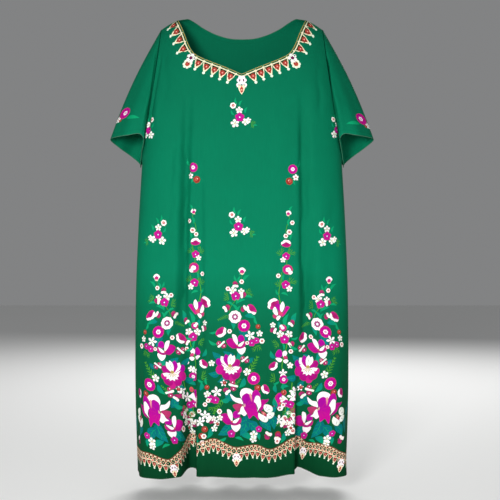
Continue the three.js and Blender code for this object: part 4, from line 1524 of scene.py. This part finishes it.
def dress_cloth(name, upper, middle, lower, hem, rough):
    """Dyed rayon: a green ground whose brightening at the waist and darkening to the shoulders and the hem is
    painted light, the print over it, a fine weave, hem stitches, a painted highlight on the finished edges and
    painted shade along the seams.
    """
    cloth = Finish(name)
    place = cloth.node("ShaderNodeTexCoord", {}, out="Object")
    flat = cloth.node("ShaderNodeUVMap", {"uv_map": "flat_cloth"})
    edges = cloth.node("ShaderNodeAttribute", {"attribute_name": "edge_distance"}, out="Vector")
    printed = cloth.node("ShaderNodeAttribute", {"attribute_name": "print"})
    cover = Value(cloth, printed.socket.node.outputs["Alpha"])
    height = cloth.split(place)[2]
    across, along, _ = cloth.split(flat)
    to_edge, to_seam, _ = cloth.split(edges)

    # Painted light: the green is the cloth's own, but the ramp's brightening at the waist and darkening to the
    # shoulders and the hem stand in for how the light falls.
    stops = [(0.0, hem), (0.12, lower), (0.30, mix_colour(lower, middle, 0.35)), (0.44, middle), (1.0, upper)]
    ground = cloth.ramp((height + 1.2) / 1.2, stops)
    cloudy = cloth.noise(place, 9.0, 3.0)
    ground = cloth.blend(0.22, ground, cloth.blend(cloudy, grey(0.36), grey(0.66)), "OVERLAY")
    slub = cloth.noise(cloth.vector("MULTIPLY", flat, (260.0, 30.0, 1.0)), 1.0, 2.0)
    ground = cloth.blend(0.16, ground, cloth.blend(slub, grey(0.3), grey(0.7)), "OVERLAY")

    threads = (across * 5200).sine() * (along * 5200).sine()
    soak = cloth.noise(flat, 900.0, 2.0)
    ink = cloth.blend(0.10, printed, cloth.blend(soak, grey(0.25), grey(0.75)), "OVERLAY")
    colour = cloth.blend(cover, ground, ink)
    colour = cloth.blend(threads * 0.045 + 0.045, colour, grey(0.02))

    # Painted highlight: a pale grey-green line painted along the hem and neckline edges.
    rim = (to_edge < 1.1) * 0.5
    colour = cloth.blend(rim, colour, rgba((0.42, 0.50, 0.44)))
    line = ((to_edge - 12.0).absolute() < 0.55) * (((across + along * 0.15) * 2100).sine() > -0.2)
    colour = cloth.blend(line * 0.4, colour, rgba((0.0, 0.26, 0.17)))
    # Painted shade: a dark green line along the sewn edges, where the seams lie in shade.
    seam = (to_seam < 0.9) * 0.55
    colour = cloth.blend(seam, colour, rgba((0.0, 0.20, 0.13)))
    cloth.feed("Base Color", colour)

    cloth.feed("Roughness", cloudy * 0.08 + (rough - 0.04) - cover * 0.03)
    puckers = cloth.noise(cloth.vector("MULTIPLY", flat, (160.0, 160.0, 1.0)), 1.0, 2.0)
    near_hem = (to_edge < 16.0) * puckers * 0.5
    relief = threads * 0.06 + slub * 0.35 + near_hem - line * 0.6 - (to_seam < 1.6) * 0.8
    bump = cloth.node("ShaderNodeBump", {}, Strength=0.35, Distance=0.0006, Height=relief)
    cloth.feed("Normal", bump)
    cloth.feed("Specular IOR Level", 0.05)
    return cloth.material


def mix_colour(a, b, t):
    return tuple(float(x) for x in mix(np.array(a), np.array(b), t))


# What a user would change

class DressSettings(bpy.types.PropertyGroup):
    """Sizes and colours of the cloth."""

    thickness: bpy.props.FloatProperty(
        name="Cloth thickness",
        description="Thickness of the cloth's wall",
        default=0.0007,
        min=0.0003,
        max=0.002,
        precision=4,
        unit="LENGTH",
    )
    # The four greens hold painted light: brightest at the waist, darker to the shoulders and much darker to the
    # hem.
    upper: bpy.props.FloatVectorProperty(
        name="Shoulder green",
        description="Colour of the ground at the shoulders",
        default=(0.0, 0.405, 0.285),
        subtype="COLOR_GAMMA",
    )
    middle: bpy.props.FloatVectorProperty(
        name="Middle green",
        description="Colour of the ground at the waist",
        default=(0.0, 0.47, 0.335),
        subtype="COLOR_GAMMA",
    )
    lower: bpy.props.FloatVectorProperty(
        name="Lower green",
        description="Colour of the ground among the lowest flowers",
        default=(0.0, 0.335, 0.195),
        subtype="COLOR_GAMMA",
    )
    hem: bpy.props.FloatVectorProperty(
        name="Hem green",
        description="Colour of the ground at the hem",
        default=(0.0, 0.235, 0.12),
        subtype="COLOR_GAMMA",
    )
    roughness: bpy.props.FloatProperty(
        name="Roughness",
        description="How matt the cloth is",
        default=0.78,
        min=0.3,
        max=1.0,
        subtype="FACTOR",
    )
    grid_step: bpy.props.FloatProperty(
        name="Grid step",
        description="Spacing of the cloth's own grid",
        default=0.0056,
        min=0.004,
        max=0.02,
        precision=4,
        unit="LENGTH",
    )


class StudioSettings(bpy.types.PropertyGroup):
    """The floor, light and camera."""

    floor_drop: bpy.props.FloatProperty(
        name="Floor below hem",
        description="How far the floor lies below the hem",
        default=0.06,
        min=0.0,
        unit="LENGTH",
    )
    distance: bpy.props.FloatProperty(
        name="Camera distance",
        description="How far the camera stands from the middle of the dress",
        default=2.4,
        min=1.0,
        unit="LENGTH",
    )
    eye_height: bpy.props.FloatProperty(
        name="Camera height",
        description="Height of the camera, from the shoulders",
        default=-0.6199,
        unit="LENGTH",
    )
    aside: bpy.props.FloatProperty(
        name="Camera aside",
        description="How far the camera stands to the viewer's right",
        default=0.0214,
        unit="LENGTH",
    )
    view_width: bpy.props.FloatProperty(
        name="View width",
        description="Width of the view at the middle of the dress",
        default=1.34,
        min=0.2,
        unit="LENGTH",
    )
    floor_colour: bpy.props.FloatVectorProperty(
        name="Floor colour",
        description="Colour of the floor and backdrop",
        default=(0.88, 0.88, 0.87),
        subtype="COLOR",
    )


# The cloth's reach in millimetres, and the spans from which the rows and columns of its grid are counted
PANEL_ACROSS, PANEL_DOWN, PANEL_ROWS = 690, 1200, 640
SLEEVE_DOWN, SLEEVE_COLUMNS, SLEEVE_ROWS = 280, 600, 300

# Lights: name, place and side in metres, watts
LIGHTS = (
    ("key", (-0.7, -2.9, -0.25), 0.6, 72),
    ("fill", (1.7, -2.4, -0.8), 1.6, 15),
    ("back", (0.4, 2.6, 1.2), 2.0, 80),
)
SKY, SKY_STRENGTH = (0.86, 0.87, 0.88, 1.0), 0.26
FLOOR_REACH = 8

FORMS = {}


def forms():
    """The four measured forms, worked out once."""
    if not FORMS:
        front, back = Panel("front"), Panel("back")
        FORMS.update(
            front=front,
            back=back,
            sleeve_right=Sleeve(1, front, back),
            sleeve_left=Sleeve(-1, front, back),
        )
    return FORMS


def cloth_material():
    """The one printed rayon, made on first use from the settings."""
    made = bpy.data.materials.get("printed_rayon")
    if made:
        return made
    s = bpy.context.scene.dress
    greens_with_painted_light = [rgba(tuple(c)) for c in (s.upper, s.middle, s.lower, s.hem)]
    return dress_cloth("printed_rayon", *greens_with_painted_light, s.roughness)


def sew(name, shapes, columns, rows, width, length, outward):
    """Makes one piece, gives it its cloth and puts it in the place of its node."""
    s = bpy.context.scene.dress
    obj = cloth_piece(
        "cloth_" + name, forms()[name], shapes, columns, rows, width, length, s.thickness / MM, outward
    )
    obj.data.materials.append(cloth_material())
    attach(obj, "root")
    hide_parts(name)
    return obj


def sew_panel(side, outward):
    """Makes a body panel with its print."""
    step = bpy.context.scene.dress.grid_step / MM
    sew(side, panel_print(forms()[side]), round(PANEL_ACROSS / step), round(PANEL_ROWS / step),
        PANEL_ACROSS, PANEL_DOWN, outward)


class DRESS_OT_front(bpy.types.Operator):
    """Make the printed front panel"""

    bl_idname = "dress.front"
    bl_label = "Front panel"

    def execute(self, context):
        sew_panel("front", 1)
        return {"FINISHED"}


class DRESS_OT_back(bpy.types.Operator):
    """Make the printed back panel"""

    bl_idname = "dress.back"
    bl_label = "Back panel"

    def execute(self, context):
        sew_panel("back", -1)
        return {"FINISHED"}


class DRESS_OT_sleeves(bpy.types.Operator):
    """Make the two short sleeves"""

    bl_idname = "dress.sleeves"
    bl_label = "Sleeves"

    def execute(self, context):
        step = context.scene.dress.grid_step / MM
        for name, outward in (("sleeve_right", -1), ("sleeve_left", 1)):
            form = forms()[name]
            sew(name, sleeve_print(form), round(SLEEVE_COLUMNS / step), round(SLEEVE_ROWS / step),
                form.girth, SLEEVE_DOWN, outward)
        return {"FINISHED"}


def stage_piece(name, points, faces, material):
    mesh = bpy.data.meshes.new(name)
    mesh.from_pydata(points, [], faces)
    mesh.materials.append(material)
    obj = bpy.data.objects.new(name, mesh)
    bpy.context.scene.collection.objects.link(obj)
    return obj


def soft_light(name, place, aim, size, power):
    """A square area light turned to face a point."""
    data = bpy.data.lights.new(name, "AREA")
    data.shape = "SQUARE"
    data.size = size
    data.energy = power
    obj = bpy.data.objects.new(name, data)
    obj.location = place
    obj.rotation_euler = (Vector(aim) - Vector(place)).to_track_quat("-Z", "Y").to_euler()
    bpy.context.scene.collection.objects.link(obj)
    return obj


class DRESS_OT_studio(bpy.types.Operator):
    """Make the floor, the light and the camera"""

    bl_idname = "dress.studio"
    bl_label = "Studio"

    def execute(self, context):
        s = context.scene.studio
        level_z = CAD_BOX[0][2] - s.floor_drop
        floor = Finish("studio_floor")
        floor.feed("Base Color", (*s.floor_colour, 1.0))
        floor.feed("Roughness", 0.9)
        corners = [(x * FLOOR_REACH, y * FLOOR_REACH, level_z) for x, y in ((-1, -1), (1, -1), (1, 1), (-1, 1))]
        stage_piece("floor", corners, [(0, 1, 2, 3)], floor.material)

        world = bpy.data.worlds.new("studio")
        world.use_nodes = True
        sky = world.node_tree.nodes["Background"].inputs
        sky["Color"].default_value, sky["Strength"].default_value = SKY, SKY_STRENGTH
        context.scene.world = world
        aim = (0, 0, level_z / 2)
        for name, place, side, power in LIGHTS:
            soft_light(name, place, aim, side, power)

        data = bpy.data.cameras.new("camera")
        data.sensor_width = 36
        data.lens = 36 * s.distance / s.view_width
        camera = bpy.data.objects.new("camera", data)
        camera.location = (s.aside, -s.distance, s.eye_height)
        camera.rotation_euler = (math.pi / 2, 0, 0)
        context.scene.collection.objects.link(camera)
        context.scene.camera = camera
        context.scene.view_settings.view_transform = "Standard"
        return {"FINISHED"}


class DRESS_PT_panel(bpy.types.Panel):
    """The dress's settings and its pieces"""

    bl_idname = "DRESS_PT_panel"
    bl_label = "Batik Maxi Dress"
    bl_space_type = "VIEW_3D"
    bl_region_type = "UI"
    bl_category = "Dress"

    def draw(self, context):
        for group in (context.scene.dress, context.scene.studio):
            for key in group.__annotations__:
                self.layout.prop(group, key)
        for operator in OPERATORS:
            self.layout.operator(operator.bl_idname)


GROUPS = (DressSettings, StudioSettings)
OPERATORS = (DRESS_OT_front, DRESS_OT_back, DRESS_OT_sleeves, DRESS_OT_studio)


def register():
    for made in (*GROUPS, *OPERATORS, DRESS_PT_panel):
        bpy.utils.register_class(made)
    bpy.types.Scene.dress = bpy.props.PointerProperty(type=DressSettings)
    bpy.types.Scene.studio = bpy.props.PointerProperty(type=StudioSettings)


def unregister():
    del bpy.types.Scene.studio
    del bpy.types.Scene.dress
    for made in (DRESS_PT_panel, *reversed(OPERATORS), *reversed(GROUPS)):
        bpy.utils.unregister_class(made)


def main():
    register()
    bpy.ops.dress.front()
    bpy.ops.dress.back()
    bpy.ops.dress.sleeves()
    bpy.ops.dress.studio()


if __name__ == "__main__":
    main()
